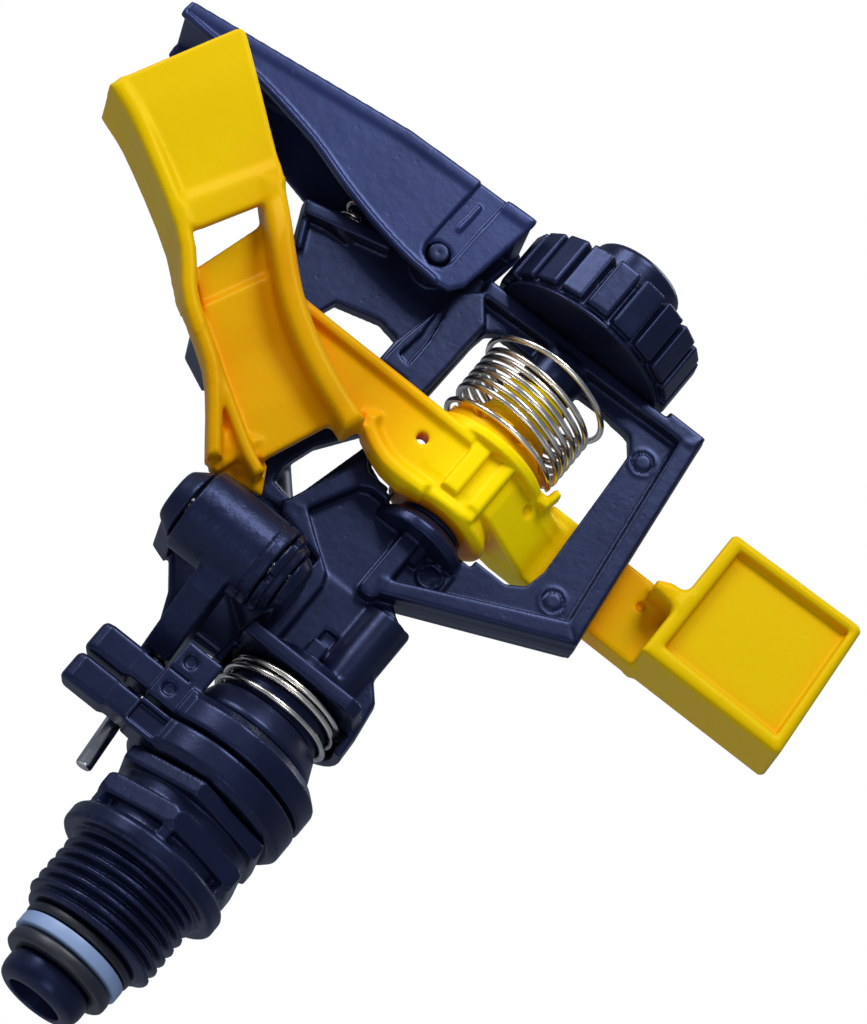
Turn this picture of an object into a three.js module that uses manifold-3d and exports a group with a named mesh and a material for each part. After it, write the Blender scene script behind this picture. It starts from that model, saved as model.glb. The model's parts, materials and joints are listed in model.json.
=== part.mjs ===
// Impact sprinkler: a part-circle impact-drive sprinkler on a 1/2 inch pipe thread.
// Millimetres, +Z up along the inlet axis, nozzle and spoon toward -X, counterweight toward +X.
// The origin is on the inlet axis, in the plane of the flange's underside.
import * as THREE from "three";
import { mergeVertices } from "three/addons/utils/BufferGeometryUtils.js";
import Module from "manifold-3d";

const wasm = await Module();
wasm.setup();

// ---------- driving dimensions ----------
const GAP = 0.3; // clearance between pieces that touch
const THREAD = { radius: 10.34, pitch: 1.814, turns: 6, depth: 1.16 }; // 1/2 inch pipe thread
const NIPPLE = { bottom: -11.2, bore: 5.9, shank: 10.5, flangeRadius: 12.6, flangeTop: 3.4, barrel: 8.6,
  top: 32.6 };
const HEX = { acrossFlats: 22.4, lower: [5.0, 8.2], upper: [10.4, 12.9] };
const COLLAR = { inner: 8.95, outer: 13, lower: [13.3, 18.2], upper: [18.6, 23.6], earTop: 28.2 };
const STEM = { radius: 5.4, bore: 4.1, headTop: -17.8, headRadius: 6.35, bottom: -21.8, top: 38 };
const PLATE_Z = [34.1, 36.4]; // base plate of the head
const NECK = { radius: 7.5, top: 50.4, panelY: -5.8, panelX: [-8.2, 1.9] };
const RIM_Y = 3.4; // half thickness of the bridge at its rims
const WEB_Y = 1.3; // half thickness of the bridge's web
const BRIDGE = { top: 99, boss: 64.6, bossRadius: 6.9 };
const WINDOW = { left: -12, right: 15.4, bottom: 65.4, top: 93.4 };
const PIVOT_RADIUS = 2;
const HUB = { radius: 6.9, bottom: 65.9, diskRadius: 9.5, diskZ: [76.8, 78.9], top: 90 };
const ARM_FRONT = [-8.6, -4.1]; // y range of the spoon side of the arm
const ARM_BACK = [4.0, 8.6]; // y range of the counterweight side
const WALL_Y = [-12.5, -5.6]; // y range of the trough's walls
const DRUM = { y: -11, z: 42.6, radius: 6.35, x: [-25.2, -11.6] };
const TRIP_PIN = { top: [-17.3, -1.5, 31], tip: [-15, -1.5, 7.2], radius: 1.2 };
const FLAP = { pivotX: -23, pivotZ: 95.6, y: 7.7, wall: 1.4 };
const KNOB = { z: [99.4, 108.8],
  radius: 14.5, hubRadius: 7.3, hubTop: 114.8, teeth: 20, grooveAngle: -1.44 };
const SPRING_SEAT = { x: -36.4, z: [90.4, 93.4], radius: 2.9 }; // under the flap, toward the nozzle

// ---------- materials ----------
const finish = (color, roughness, metalness = 0) =>
  new THREE.MeshStandardMaterial({ color, roughness, metalness });
const BLACK = () => finish(0x1a1e30, 0.42);
const NAVY = () => finish(0x2a3050, 0.42);
const YELLOW = () => finish(0xf2c20a, 0.4);
const STEEL = () => finish(0xcfc8bd, 0.28, 1);
const RUBBER = () => finish(0x14151a, 0.8);
const GREY = () => finish(0x9fb2c6, 0.5);

// ---------- shape helpers ----------
// A three.js geometry as a manifold-3d solid, with its faces turned out.
function solid(geometry) {
  const bare = new THREE.BufferGeometry();
  bare.setAttribute("position", geometry.getAttribute("position"));
  if (geometry.index) bare.setIndex(geometry.index);
  const merged = mergeVertices(bare, 1e-4);
  const corners = merged.index.array;
  const kept = [];
  for (let i = 0; i < corners.length; i += 3) {
    const [a, b, c] = corners.slice(i, i + 3);
    if (a !== b && b !== c && a !== c) kept.push(a, b, c);
  }
  const build = (triangles) =>
    new wasm.Manifold(
      new wasm.Mesh({
        numProp: 3,
        vertProperties: new Float32Array(merged.attributes.position.array),
        triVerts: new Uint32Array(triangles),
      }),
    );
  const made = build(kept);
  if (made.volume() > 0) return made;
  return build(kept.reverse());
}

const join = (...parts) => parts.reduce((all, part) => all.add(part));
const cut = (body, ...tools) => tools.reduce((left, tool) => left.subtract(tool), body);

// A closed outline in the XZ plane, as a slab between two depths y.
function slab(points, [y0, y1]) {
  const shape = points instanceof THREE.Shape ? points : outline(points);
  const geometry = new THREE.ExtrudeGeometry(shape, {
    depth: y1 - y0,
    bevelEnabled: false,
    curveSegments: 5,
  });
  geometry.rotateX(Math.PI / 2);
  geometry.translate(0, y1, 0);
  return solid(geometry);
}

// A closed outline in the XY plane, as a slab between two heights z.
function layer(points, [z0, z1]) {
  const shape = points instanceof THREE.Shape ? points : outline(points);
  const geometry = new THREE.ExtrudeGeometry(shape, {
    depth: z1 - z0,
    bevelEnabled: false,
    curveSegments: 5,
  });
  geometry.translate(0, 0, z0);
  return solid(geometry);
}

const outline = (points) => new THREE.Shape(points.map(([x, z]) => new THREE.Vector2(x, z)));

// An outline whose corners are rounded: each point is [x, z, radius].
function rounded(points) {
  const shape = new THREE.Shape();
  const at = (i) => points[(i + points.length) % points.length];
  points.forEach(([x, z, radius = 0], i) => {
    const corner = new THREE.Vector2(x, z);
    const before = new THREE.Vector2(at(i - 1)[0], at(i - 1)[1]).sub(corner);
    const after = new THREE.Vector2(at(i + 1)[0], at(i + 1)[1]).sub(corner);
    const reach = Math.min(radius, before.length() * 0.45, after.length() * 0.45);
    const start = corner.clone().addScaledVector(before.normalize(), reach);
    const end = corner.clone().addScaledVector(after.normalize(), reach);
    if (i === 0) shape.moveTo(start.x, start.y);
    else shape.lineTo(start.x, start.y);
    if (reach > 0) shape.quadraticCurveTo(x, z, end.x, end.y);
  });
  return shape;
}

// A strip of even width along a smooth curve through the points, as a closed outline.
function strip(points, width, steps = 12) {
  const curve = new THREE.SplineCurve(points.map(([x, z]) => new THREE.Vector2(x, z)));
  const left = [];
  const right = [];
  for (let i = 0; i <= steps; i += 1) {
    const middle = curve.getPoint(i / steps);
    const along = curve.getTangent(i / steps);
    const side = new THREE.Vector2(-along.y, along.x).multiplyScalar(width / 2);
    left.push([middle.x + side.x, middle.y + side.y]);
    right.unshift([middle.x - side.x, middle.y - side.y]);
  }
  return [...left, ...right];
}

// A closed outline in the YZ plane, as a slab between two x.
function across(points, [x0, x1]) {
  const geometry = new THREE.ExtrudeGeometry(outline(points), { depth: x1 - x0, bevelEnabled: false });
  geometry.applyMatrix4(new THREE.Matrix4().set(0, 0, 1, x0, 1, 0, 0, 0, 0, 1, 0, 0, 0, 0, 0, 1));
  return solid(geometry);
}

function box([x0, x1], [y0, y1], [z0, z1]) {
  const geometry = new THREE.BoxGeometry(x1 - x0, y1 - y0, z1 - z0);
  geometry.translate((x0 + x1) / 2, (y0 + y1) / 2, (z0 + z1) / 2);
  return solid(geometry);
}

// A solid of revolution round the Z axis, from a closed profile of [radius, z].
function turned(profile, segments = 32) {
  const closed = [...profile, profile[0]];
  const geometry = new THREE.LatheGeometry(
    closed.map(([radius, z]) => new THREE.Vector2(radius, z)),
    segments,
  );
  geometry.rotateX(Math.PI / 2);
  return solid(geometry);
}

const ring = (inner, outer, [z0, z1], segments = 32) =>
  turned([[inner, z0], [outer, z0], [outer, z1], [inner, z1]], segments);

const disk = (radius, [z0, z1], segments = 24) =>
  turned([[0, z0], [radius, z0], [radius, z1], [0, z1]], segments);

// A round bar between two points.
function rod(from, to, radius, segments = 20, endRadius = radius) {
  const start = new THREE.Vector3(...from);
  const axis = new THREE.Vector3(...to).sub(start);
  const geometry = new THREE.CylinderGeometry(endRadius, radius, axis.length(), segments);
  geometry.translate(0, axis.length() / 2, 0);
  geometry.applyQuaternion(
    new THREE.Quaternion().setFromUnitVectors(new THREE.Vector3(0, 1, 0), axis.clone().normalize()),
  );
  geometry.translate(...from);
  return solid(geometry);
}

// A round section swept along a curve.
function swept(curve, radius, steps, sides = 8) {
  const section = new THREE.Shape();
  section.absarc(0, 0, radius, 0, Math.PI * 2);
  return solid(
    new THREE.ExtrudeGeometry(section, { steps, curveSegments: sides / 2, extrudePath: curve }),
  );
}

// A coil whose radius and height may change along its turns.
class Coil extends THREE.Curve {
  constructor(turns, radiusAt, heightAt, startAngle, centre = [0, 0]) {
    super();
    Object.assign(this, { turns, radiusAt, heightAt, startAngle, centre });
  }
  getPoint(t, target = new THREE.Vector3()) {
    const angle = this.startAngle + t * this.turns * Math.PI * 2;
    const radius = this.radiusAt(t);
    return target.set(
      this.centre[0] + radius * Math.cos(angle),
      this.centre[1] + radius * Math.sin(angle),
      this.heightAt(t),
    );
  }
}

const hexagon = (acrossFlats) => {
  const corner = acrossFlats / Math.sqrt(3);
  return Array.from({ length: 6 }, (_, i) => {
    const angle = Math.PI / 2 + (i * Math.PI) / 3;
    return [corner * Math.cos(angle), corner * Math.sin(angle)];
  });
};

const sprinkler = new THREE.Group();

function place(name, body, material) {
  const { vertProperties, triVerts, numProp } = body.asOriginal().simplify(0.004).getMesh();
  const positions = new Float32Array((vertProperties.length / numProp) * 3);
  for (let i = 0; i < positions.length / 3; i += 1)
    positions.set(vertProperties.subarray(i * numProp, i * numProp + 3), i * 3);
  const geometry = new THREE.BufferGeometry();
  geometry.setAttribute("position", new THREE.BufferAttribute(positions, 3));
  geometry.setIndex(new THREE.BufferAttribute(new Uint32Array(triVerts), 1));
  geometry.computeVertexNormals();
  const mesh = new THREE.Mesh(geometry, material);
  mesh.name = name;
  sprinkler.add(mesh);
}

// ---------- fixed part: nipple, retainer, spring, collars ----------
function inletNipple() {
  const { radius, pitch, turns, depth } = THREAD;
  const profile = [[NIPPLE.bore, NIPPLE.bottom], [radius - depth, NIPPLE.bottom]];
  for (let i = 0; i < turns; i += 1) {
    const z = NIPPLE.bottom + 0.25 + i * pitch;
    profile.push([radius - depth, z], [radius, z + 0.4 * pitch], [radius, z + 0.6 * pitch]);
  }
  profile.push(
    [radius - depth, -0.55],
    [NIPPLE.shank, -0.5],
    [NIPPLE.shank, 0],
    [NIPPLE.flangeRadius - 0.5, 0],
    [NIPPLE.flangeRadius, 0.5],
    [NIPPLE.flangeRadius, 2.4],
    [NIPPLE.flangeRadius - 0.8, NIPPLE.flangeTop],
    [10.4, NIPPLE.flangeTop],
    [10.4, HEX.upper[1]],
    [NIPPLE.barrel, HEX.upper[1]],
    [NIPPLE.barrel, 23.9],
    [7.0, 23.9],
    [7.0, NIPPLE.top],
    [NIPPLE.bore, NIPPLE.top],
  );
  const hexes = [HEX.lower, HEX.upper].map((z) =>
    cut(layer(hexagon(HEX.acrossFlats), z), disk(9, [z[0] - 1, z[1] + 1])),
  );
  const rib = (angle) => {
    const bar = new THREE.BoxGeometry(1.6, 2, HEX.lower[0] - NIPPLE.flangeTop + 0.4);
    bar.translate(0, -11.2, (HEX.lower[0] + NIPPLE.flangeTop) / 2);
    bar.rotateZ(angle);
    return solid(bar);
  };
  const ribs = Array.from({ length: 6 }, (_, i) => rib((i * Math.PI) / 3));
  return join(turned(profile, 36), ...hexes, ...ribs);
}

// A friction ring with its grip: the collar's pad and finger lever reach out past the trip pin.
function tripCollar([z0, z1], upper) {
  const body = turned([
    [COLLAR.inner, z0],
    [COLLAR.outer - (upper ? 0 : 0.9), z0],
    [COLLAR.outer, z0 + (upper ? 0 : 1)],
    [COLLAR.outer, z1 - (upper ? 1.4 : 0)],
    [COLLAR.outer - (upper ? 1.6 : 0), z1],
    [COLLAR.inner, z1],
  ], 36);
  const grip = rounded([
    [-7, -9.2, 0], [-14.2, -9.2, 0.4], [-14.6, -8.6, 0.4], [-23.6, -8.6, 1.2], [-24.9, -7.2, 1.2],
    [-24.4, -4.2, 1], [-14, -4.2, 1], [-9.5, -3.2, 0],
  ]);
  const parts = [layer(grip, [z0, z1 - 0.1])];
  if (upper) {
    parts.push(box([-14.2, -10.7], [-9.2, -4.4], [z1 - 0.4, COLLAR.earTop]));
    parts.push(box([-11, -8.4], [-9.2, -7.6], [z1 - 0.4, COLLAR.earTop]));
  }
  const dimples = (upper ? [20.9, 25.8] : []).map((z) => rod([-10.4, -9.5, z], [-10.4, -8.5, z], 0.9, 12));
  const groove = upper ? [] : [box([-12.6, -8], [-9.6, -8.2], [z0 + 0.9, z1 - 0.9])];
  return cut(join(body, ...parts), disk(COLLAR.inner, [z0 - 1, z1 + 6], 36), ...dimples, ...groove);
}

// ---------- head ----------
const barrelPath = new THREE.CatmullRomCurve3([
  new THREE.Vector3(0.5, 1.5, 40),
  new THREE.Vector3(-8, 4.2, 42.5),
  new THREE.Vector3(-17, 4.6, 50),
  new THREE.Vector3(-27, 3, 60.5),
  new THREE.Vector3(-34.4, 0.8, 68.1),
  new THREE.Vector3(-40.6, 0, 71.4),
]);
const NOZZLE_TILT = (28 * Math.PI) / 180;
const nozzleDirection = new THREE.Vector3(-Math.cos(NOZZLE_TILT), 0, Math.sin(NOZZLE_TILT));
const nozzlePoint = (distance) => {
  const point = new THREE.Vector3(-40.8, 0, 71.5).addScaledVector(nozzleDirection, distance);
  return [point.x, point.y, point.z];
};

function headCasting() {
  const webOutline = rounded([
    [17, BRIDGE.top + 1], [22, BRIDGE.top + 1, 1.2], [26.3, 63.8, 1], [3, 53.2], [7, 50], [7, PLATE_Z[1]],
    [-8.4, PLATE_Z[1]], [-8.4, 50], [-17.2, 53.8, 1], [-23, 53.5, 2], [-35, 63], [-42, 70],
      [-36.2, 79.6, 1],
    [-39.8, 84.8, 1], [-42.8, 91.6, 0.8], [-30.4, 94.6, 1], [-27.4, BRIDGE.top, 1.5], [16, BRIDGE.top],
  ]);
  const window = rounded([
    [WINDOW.left, WINDOW.bottom + 2, 1], [WINDOW.left + 0.6, 91, 2], [-10.6, WINDOW.top + 0.6, 1.5],
    [8.6, WINDOW.top + 1.2, 1], [15.2, WINDOW.top, 2.4], [WINDOW.right - 0.2, 89, 1],
    [WINDOW.right + 0.9, 69, 3], [13.4, WINDOW.bottom, 2], [8, WINDOW.bottom], [8, 64.2], [-8, 64.2],
    [-8, WINDOW.bottom],
  ]);
  const lowGap = rounded([
    [-13.2, 69.9, 0.6], [-15.3, 69.9, 1], [-19.3, 64, 3], [-20.8, 58.6, 1.5], [-20, 55.8, 0.8],
      [-16.7, 55.6, 0.8],
    [-13, 66.4, 1],
  ]);
  const highGap = rounded([
    [-20.4, 73, 1], [-20.2, 84, 0.6], [-23.6, 84.7, 0.8], [-30, 82.8, 0.6], [-31, 80, 1], [-27.5, 73, 1],
  ]);
  const web = cut(
    slab(webOutline, [-WEB_Y, WEB_Y]),
    ...[window, lowGap, highGap].map((hole) => slab(hole, [-WEB_Y - 1, WEB_Y + 1])),
  );
  // the rims stand proud of the web on both faces
  const rim = (points) => slab(points, [-RIM_Y, RIM_Y]);
  const rims = [
    rim([[15.8, 100], [22, 100], [21.6, 97.3], [-14.9, 96.3], [-15.6, 99], [15.8, 99]]),
    rim(rounded([[21.9, 100, 0.8], [26.3, 63.8, 0.8], [23.4, 66, 0.5], [19.3, 97.2, 0.2]])),
    rim(rounded([[26.3, 63.8, 0.8], [0.5, 51.9], [-0.5, 54.2], [23.5, 66.2, 0.5]])),
    rim(rounded([[-19.7, 79, 0], [-19.5, 83.5], [-17.8, 94.4, 1], [-14.9, 97], [-11.6, 93], [-12.2, 79],
      [-12.4, 66.8],
      [-13.2, 70.2], [-15.4, 70.3]])),
    rim([[-12.5, 66.9], [-17.3, 54.2], [-15.6, 53], [-9.6, 55], [-10.4, 60], [-9.2, 63.2], [-6.4, 63.2],
      [-6.4, 65.2],
      [-11, 65.2]]),
    rim([[-17.6, 54.4], [-16.4, 52.6], [-8.2, 51], [-7, 53], [-10.4, 55.4], [-16, 55.8]]),
    rim([[-2, 63], [0.9, 63], [0.9, 51.5], [0, 50.7], [-2, 50.7]]),
    rim([[-42.6, 91.5], [-41.4, 89.4], [-28.8, 92.8], [-29, 94.9]]),
    slab([[-42.6, 91.5], [-39.4, 84.8], [-38.4, 85.4], [-40.9, 90.6]], [-2.4, 2.4]),
  ];
  const boss = turned([
    [0, 58.6], [3.9, 58.6], [4.2, 61.6], [BRIDGE.bossRadius, 61.6], [BRIDGE.bossRadius, 63.4],
    [BRIDGE.bossRadius - 1.4, BRIDGE.boss], [0, BRIDGE.boss],
  ]);
  // the neck is a round column whose front panel leans back into the web, with a rim on its left
  const foot = PLATE_Z[1] - 0.2;
  const neck = join(
    cut(
      disk(NECK.radius, [foot, NECK.top], 36),
      across([[-9, PLATE_Z[1]], [NECK.panelY, PLATE_Z[1]], [-3, NECK.top + 1], [-9, NECK.top + 1]],
        [-9, NECK.panelX[1]]),
    ),
    across([[NECK.panelY, foot], [-1.2, 60.5], [1.2, 60.5], [-NECK.panelY, foot]], NECK.panelX),
    across([[-7.6, foot], [-5, 49], [-RIM_Y, 55], [RIM_Y, 55], [6.8, 49], [6.8, foot]], [-8.4, -6.6]),
    box([-2, 0.6], [-7.4, -4.4], [foot, 40.7]),
  );
  const plate = layer(rounded([
    [-9.6, -8.8, 1.2], [9.4, -8.8, 2.4], [10.6, 0, 3], [9.4, 9, 3], [-9.6, 9, 3],
  ]), PLATE_Z);
  const shroud = cut(
    turned([[9.9, 30.6], [11.2, 30.6], [11, 34.4], [10.2, 39.8], [7, 43.5], [6, 43.5], [6, 36],
      [9.9, 33.9]], 48),
    box([-14, 14], [-14, -2.4], [28, 46]),
  );
  // the trip bracket: a plate beside the neck with an end boss for the trip axle
  const bracket = join(
    slab([
      [-28.4, 47.4], [-28.4, 44.4], [-22.4, 36.6], [-20.6, 32.4], [-9.8, 33.4], [-7, 35], [-7, 50.4],
      [-20, 50.4],
    ], [4.6, 6.8]),
    rod([-28.4, DRUM.y, DRUM.z], [-25.5, DRUM.y, DRUM.z], 3.4, 8, 5.4),
    slab([[-28.4, 40.6], [-28.4, 46.4], [-25.5, 46.4], [-25.5, 39.6]], [DRUM.y, 6.8]),
  );
  const barrel = swept(barrelPath, 5.2, 12, 12);
  const nozzleHousing = join(
    rod(nozzlePoint(-6), nozzlePoint(0.4), 5.2, 24),
    slab(rounded([
      [-43.2, 66.6, 1.2], [-41.8, 63.8, 1.2], [-36.8, 61.6, 1.2], [-32, 66, 1], [-37, 75.6, 1],
        [-41, 75.4, 1],
    ]), [-4.5, 4.5]),
  );
  const pivotBoss = rod([FLAP.pivotX, -5.8, FLAP.pivotZ], [FLAP.pivotX, 5.8, FLAP.pivotZ], 3, 20);
  const seat = SPRING_SEAT;
  const springSeat = rod([seat.x, 0, seat.z[0]], [seat.x, 0, seat.z[1]], seat.radius, 16);
  const tripBearing = join(
    rod([-8.8, DRUM.y, DRUM.z], [-6.4, DRUM.y, DRUM.z], 4.6, 20, 3.6),
    box([-8.4, -6.4], [DRUM.y, -4], [DRUM.z - 4.4, DRUM.z + 4.4]),
  );
  const knobStud = cut(disk(3.1, [98, 107.2], 20), disk(1.6, [100.6, 108], 16));
  const topBoss = turned([[0, 91.4], [3.6, 91.4], [4.2, 92.2], [4.2, 97], [0, 97]], 24);
  const raised = join(
    web, ...rims, boss, neck, plate, shroud, bracket, barrel, nozzleHousing, pivotBoss, springSeat,
      tripBearing,
    topBoss, knobStud,
  );
  // raised rings left by the mould's ejector pins
  const ejector = ([x, z]) =>
    cut(rod([x, -WEB_Y - 0.35, z], [x, -WEB_Y + 0.2, z], 1.85, 20), rod([x, -9, z], [x, 0, z], 1.45, 20));
  const marks = [[17.2, 92], [19.8, 67.6], [4.6, 59.4]].map(ejector);
  return cut(
    join(raised, ...marks),
    // water way: socket for the stem, then the bore up the riser barrel to the nozzle
    disk(STEM.radius + GAP, [30, STEM.top + GAP]),
    disk(STEM.bore, [36, 41]),
    swept(barrelPath, 3.3, 12, 12),
    rod(nozzlePoint(-5), nozzlePoint(3), 3.6, 20),
    rod(nozzlePoint(0.4), nozzlePoint(9), 11, 12),
    // pin holes
    disk(PIVOT_RADIUS + GAP, [59.7, 66], 20),
    disk(PIVOT_RADIUS + GAP, [90, 98], 20),
    rod([FLAP.pivotX, -9, FLAP.pivotZ], [FLAP.pivotX, 9, FLAP.pivotZ], 1.5 + GAP, 16),
    rod([-27.6, DRUM.y, DRUM.z], [-7.4, DRUM.y, DRUM.z], 1.5 + GAP, 16),
    rod([seat.x, 0, seat.z[1] - 1.2], [seat.x, 0, seat.z[1] + 1.6], seat.radius - 0.8, 16),
    // slot in the front of the left post
    slab(rounded([[-19, 81.2, 0.8], [-17.2, 81.2, 0.8], [-16.4, 92, 0.5], [-18.4, 92, 0.5]]), [-4, -2.6]),
  );
}

// ---------- arm ----------
function swingArm() {
  const hub = turned([
    [0, HUB.bottom], [5.6, HUB.bottom], [HUB.radius, HUB.bottom + 1.4], [HUB.radius, HUB.diskZ[0]],
    [HUB.diskRadius, HUB.diskZ[0]], [HUB.diskRadius, HUB.diskZ[1]], [5.8, HUB.diskZ[1]], [5.8, 84],
    [4.9, 84], [4.9, HUB.top], [0, HUB.top],
  ]);
  // two ribs down the hub's front, and the castellated collar inside the spring's foot
  const hubRibs = join(
    box([-1.9, 0.75], [-8.4, -5], [68.6, HUB.diskZ[0] + 0.2]),
    box([2.7, 4.6], [-7.9, -4], [68.6, HUB.diskZ[0] + 0.2]),
  );
  const castle = cut(
    ring(5.6, 8.3, [HUB.diskZ[1] - 0.2, 82]),
    ...[15, 60, 105, 150].map((degrees) => {
      const notch = new THREE.BoxGeometry(20, 2.2, 3);
      notch.translate(0, 0, 81.4);
      notch.rotateZ((degrees * Math.PI) / 180);
      return solid(notch);
    }),
    disk(5.6, [78, 84], 24),
  );
  const frontBar = slab([
    [-34, 77.4], [4.6, 77.2], [4.6, 67], [-4, 66], [-6.4, 64.9], [-9.5, 65.4], [-14.4, 67.6],
      [-15.3, 70.2], [-18, 67.4],
    [-31.7, 74],
  ], [-7.6, ARM_FRONT[1]]);
  const topRim = slab([[-34.4, 77.6], [-2, 77.2], [-2, 75.4], [-33, 75.7]], ARM_FRONT);
  const lowRim = slab(strip([[-3, 66.4], [-9.5, 66.4], [-14.4, 68.4], [-15.6, 70.2]], 1.9), ARM_FRONT);
  const upperWall = slab(strip([[-45.2, 86.8], [-38.6, 80.4], [-32.4, 75], [-24, 70.4], [-16.4, 67.4]],
    2.2), WALL_Y);
  const floor = slab([
    [-44, 84.6], [-38, 79.6], [-30, 73], [-18.6, 66.4], [-22.8, 55.2], [-27.5, 53], [-36.5, 61.6],
      [-47.4, 71.6],
  ], [-7.4, WALL_Y[1]]);
  const lowerLine = [[-72.4, 85.4], [-65.2, 82.6], [-51.4, 74.2], [-44.4, 66.6], [-35.6, 60.2],
    [-27.8, 50.6]];
  const lowerWall = slab(strip(lowerLine, 2, 14), [-10.4, WALL_Y[1]]);
  const scoop = cut(
    slab(strip(lowerLine, 2, 14), [-10.4, 2.6]),
    box([-45.2, -20], [-20, 20], [40, 90]),
  );
  const plate = slab(rounded([
    [-64.2, 103.2, 1.4], [-45.2, 88.6], [-45.6, 84.2], [-50.6, 74.8], [-65, 82.4, 2], [-72.4, 85.4, 1.2],
  ]), [-10.4, -9.1]);
  // the curved vane behind the plate turns the jet aside
  const vaneLine = [[-55, -9.4], [-60.5, -6.8], [-65.5, -2], [-68.4, 3.4]];
  const vane = cut(
    layer(strip(vaneLine, 1.6, 10), [74, 90]),
    slab([[-80, 60], [-40, 60], [-44.4, 66.6], [-51.4, 74.2], [-65.2, 82.6], [-73, 85.4], [-80, 86]],
      [-20, 20]),
  );
  const prong = join(
    slab([[-29.4, 54.6], [-27.4, 49.6], [-26.2, 49.6], [-25.4, 53], [-24.8, 57]], [-8.4, WALL_Y[1]]),
    slab([[-27, 52], [-26, 50], [-19.8, 51.6], [-22, 55.6], [-25, 55]], [-6.6, WALL_Y[1]]),
  );
  const backBar = slab([
    [3, HUB.diskZ[1]], [10.4, HUB.diskZ[1]], [11, 81.2], [34, 81.2], [34, 69.4], [3, 69.4],
  ], ARM_BACK);
  // the arm crosses from the front of the bridge to its back on the slant, through the hub
  const crank = layer(
    [[-6, -7.4], [-6, -3], [2, 4.6], [9, ARM_BACK[1]], [14, ARM_BACK[1]], [14.4, ARM_BACK[0]], [6, -5.6],
      [3, -7.4]],
    [69.4, HUB.diskZ[0]],
  );
  const block = cut(
    slab(rounded([[33.4, 80.4], [33.3, 91.6, 1.4], [55.4, 92.4, 1.8], [57.1, 69.8, 0.8], [33.4, 69.4]]),
      [-3, 8.8]),
    slab(rounded([[35.6, 72.2, 0.8], [35.5, 90.2, 0.8], [54.2, 90.8, 0.8], [55.2, 72, 0.8]]), [-3.5, -1.9]),
  );
  const foot = slab([[33.6, 69.4], [57, 69.8], [57, 72.4], [33.6, 72.4]], [-1.6, 8.8]);
  const wedge = slab(rounded([[28.8, 78.2, 1], [33.8, 78.2], [33.8, 80.6], [30.6, 80.4, 1]]),
    [-2.4, ARM_BACK[0] + 1]);
  const springLug = slab([[8, 78.9], [8, 77.2], [10.9, 77.4], [11.4, 80.4], [10.3, 80.8], [9.9, 79]],
    [-2.6, 1]);
  const all = join(
    hub, hubRibs, castle, frontBar, topRim, lowRim, upperWall, floor, lowerWall, scoop, plate, vane,
      prong, backBar,
    crank, block, foot, wedge, springLug,
  );
  return cut(
    all,
    disk(3.3, [60, 95], 24),
    rod([-8, -12, 72.4], [-8, -2, 72.4], 0.75, 12),
  );
}

// ---------- trip mechanism ----------
function tripLever() {
  const drum = rod([DRUM.x[0], DRUM.y, DRUM.z], [DRUM.x[1], DRUM.y, DRUM.z], DRUM.radius, 36);
  const arm = across([[-14, 38.6], [-12.6, 33.4], [-4.2, 25.4], [0.7, 25.4], [0.7, 31], [-6, 39.6]],
    [-19.4, -15]);
  const toe = box([-19.4, -17.9], [-3.4, 0.7], [19.6, 26]);
  return cut(
    join(drum, arm, toe),
    rod([-28, DRUM.y, DRUM.z], [-10, DRUM.y, DRUM.z], 1.5 + GAP, 16),
    rod([-23.8, DRUM.y, DRUM.z], [-10, DRUM.y, DRUM.z], 4.4, 20),
    rod(TRIP_PIN.tip, [-17.35, -1.5, 31.4], TRIP_PIN.radius + GAP, 16),
  );
}

// The cap over the drum's open end, with grip notches round its rim.
function tripEndCap() {
  const [x0, x1] = [DRUM.x[1] + GAP, -9.1];
  const notches = Array.from({ length: 6 }, (_, i) => {
    const notch = new THREE.BoxGeometry(3, 1.2, 1.6);
    notch.translate(x0 + 2.2, 0, 5.5);
    notch.rotateX((i * Math.PI) / 3);
    notch.translate(0, DRUM.y, DRUM.z);
    return solid(notch);
  });
  return cut(
    rod([x0, DRUM.y, DRUM.z], [x1, DRUM.y, DRUM.z], DRUM.radius, 30, 5),
    rod([x0 - 1, DRUM.y, DRUM.z], [x1 + 1, DRUM.y, DRUM.z], 1.5 + GAP, 16),
    ...notches,
  );
}

// ---------- deflector flap and knob ----------
function deflectorFlap() {
  const topLine = [[-15.5, 108.6], [-24.6, 108.1], [-37, 107.6], [-50, 105.8], [-72.3, 102.6]];
  const wallOutline = (drop) => [
    [-15.3, 107.8], ...topLine, [-72.6, 100.2 - drop * 0.2], [-58, 99.2 - drop * 0.7], [-47, 97.2 - drop],
    [-40, 94.9 - drop * 0.6], [-33.2, 93.1 - drop * 0.5], [-26.5, 91.9], [-20.7, 91.6], [-18.6, 92],
      [-17.2, 94],
  ];
  const near = slab(wallOutline(0), [-FLAP.y, -FLAP.y + FLAP.wall]);
  const far = slab(wallOutline(1.6), [FLAP.y - FLAP.wall, FLAP.y]);
  const top = slab(
    [...topLine, [-72.4, 101.1], [-50, 104.2], [-37, 106], [-24.6, 106.5], [-16.2, 107]],
    [-FLAP.y, FLAP.y],
  );
  const tongue = slab([[-43.6, 106], [-50.8, 105], [-50.2, 99], [-46.2, 97.6]], [-3, 3]);
  const cheeks = [-1, 1].map((side) =>
    rod([FLAP.pivotX, side * (FLAP.y - 1.3), FLAP.pivotZ], [FLAP.pivotX, side * FLAP.y, FLAP.pivotZ],
      3.2, 20));
  const channel = slab(
    rounded([[-25.1, 94, 1.6], [-20.9, 94, 1.6], [-20.2, 109], [-24.7, 109]]),
    [-FLAP.y - 1, -FLAP.y + 0.8],
  );
  return cut(
    join(near, far, top, tongue, ...cheeks),
    channel,
    rod([FLAP.pivotX, -9, FLAP.pivotZ], [FLAP.pivotX, 9, FLAP.pivotZ], 1.5 + GAP, 16),
  );
}

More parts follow.
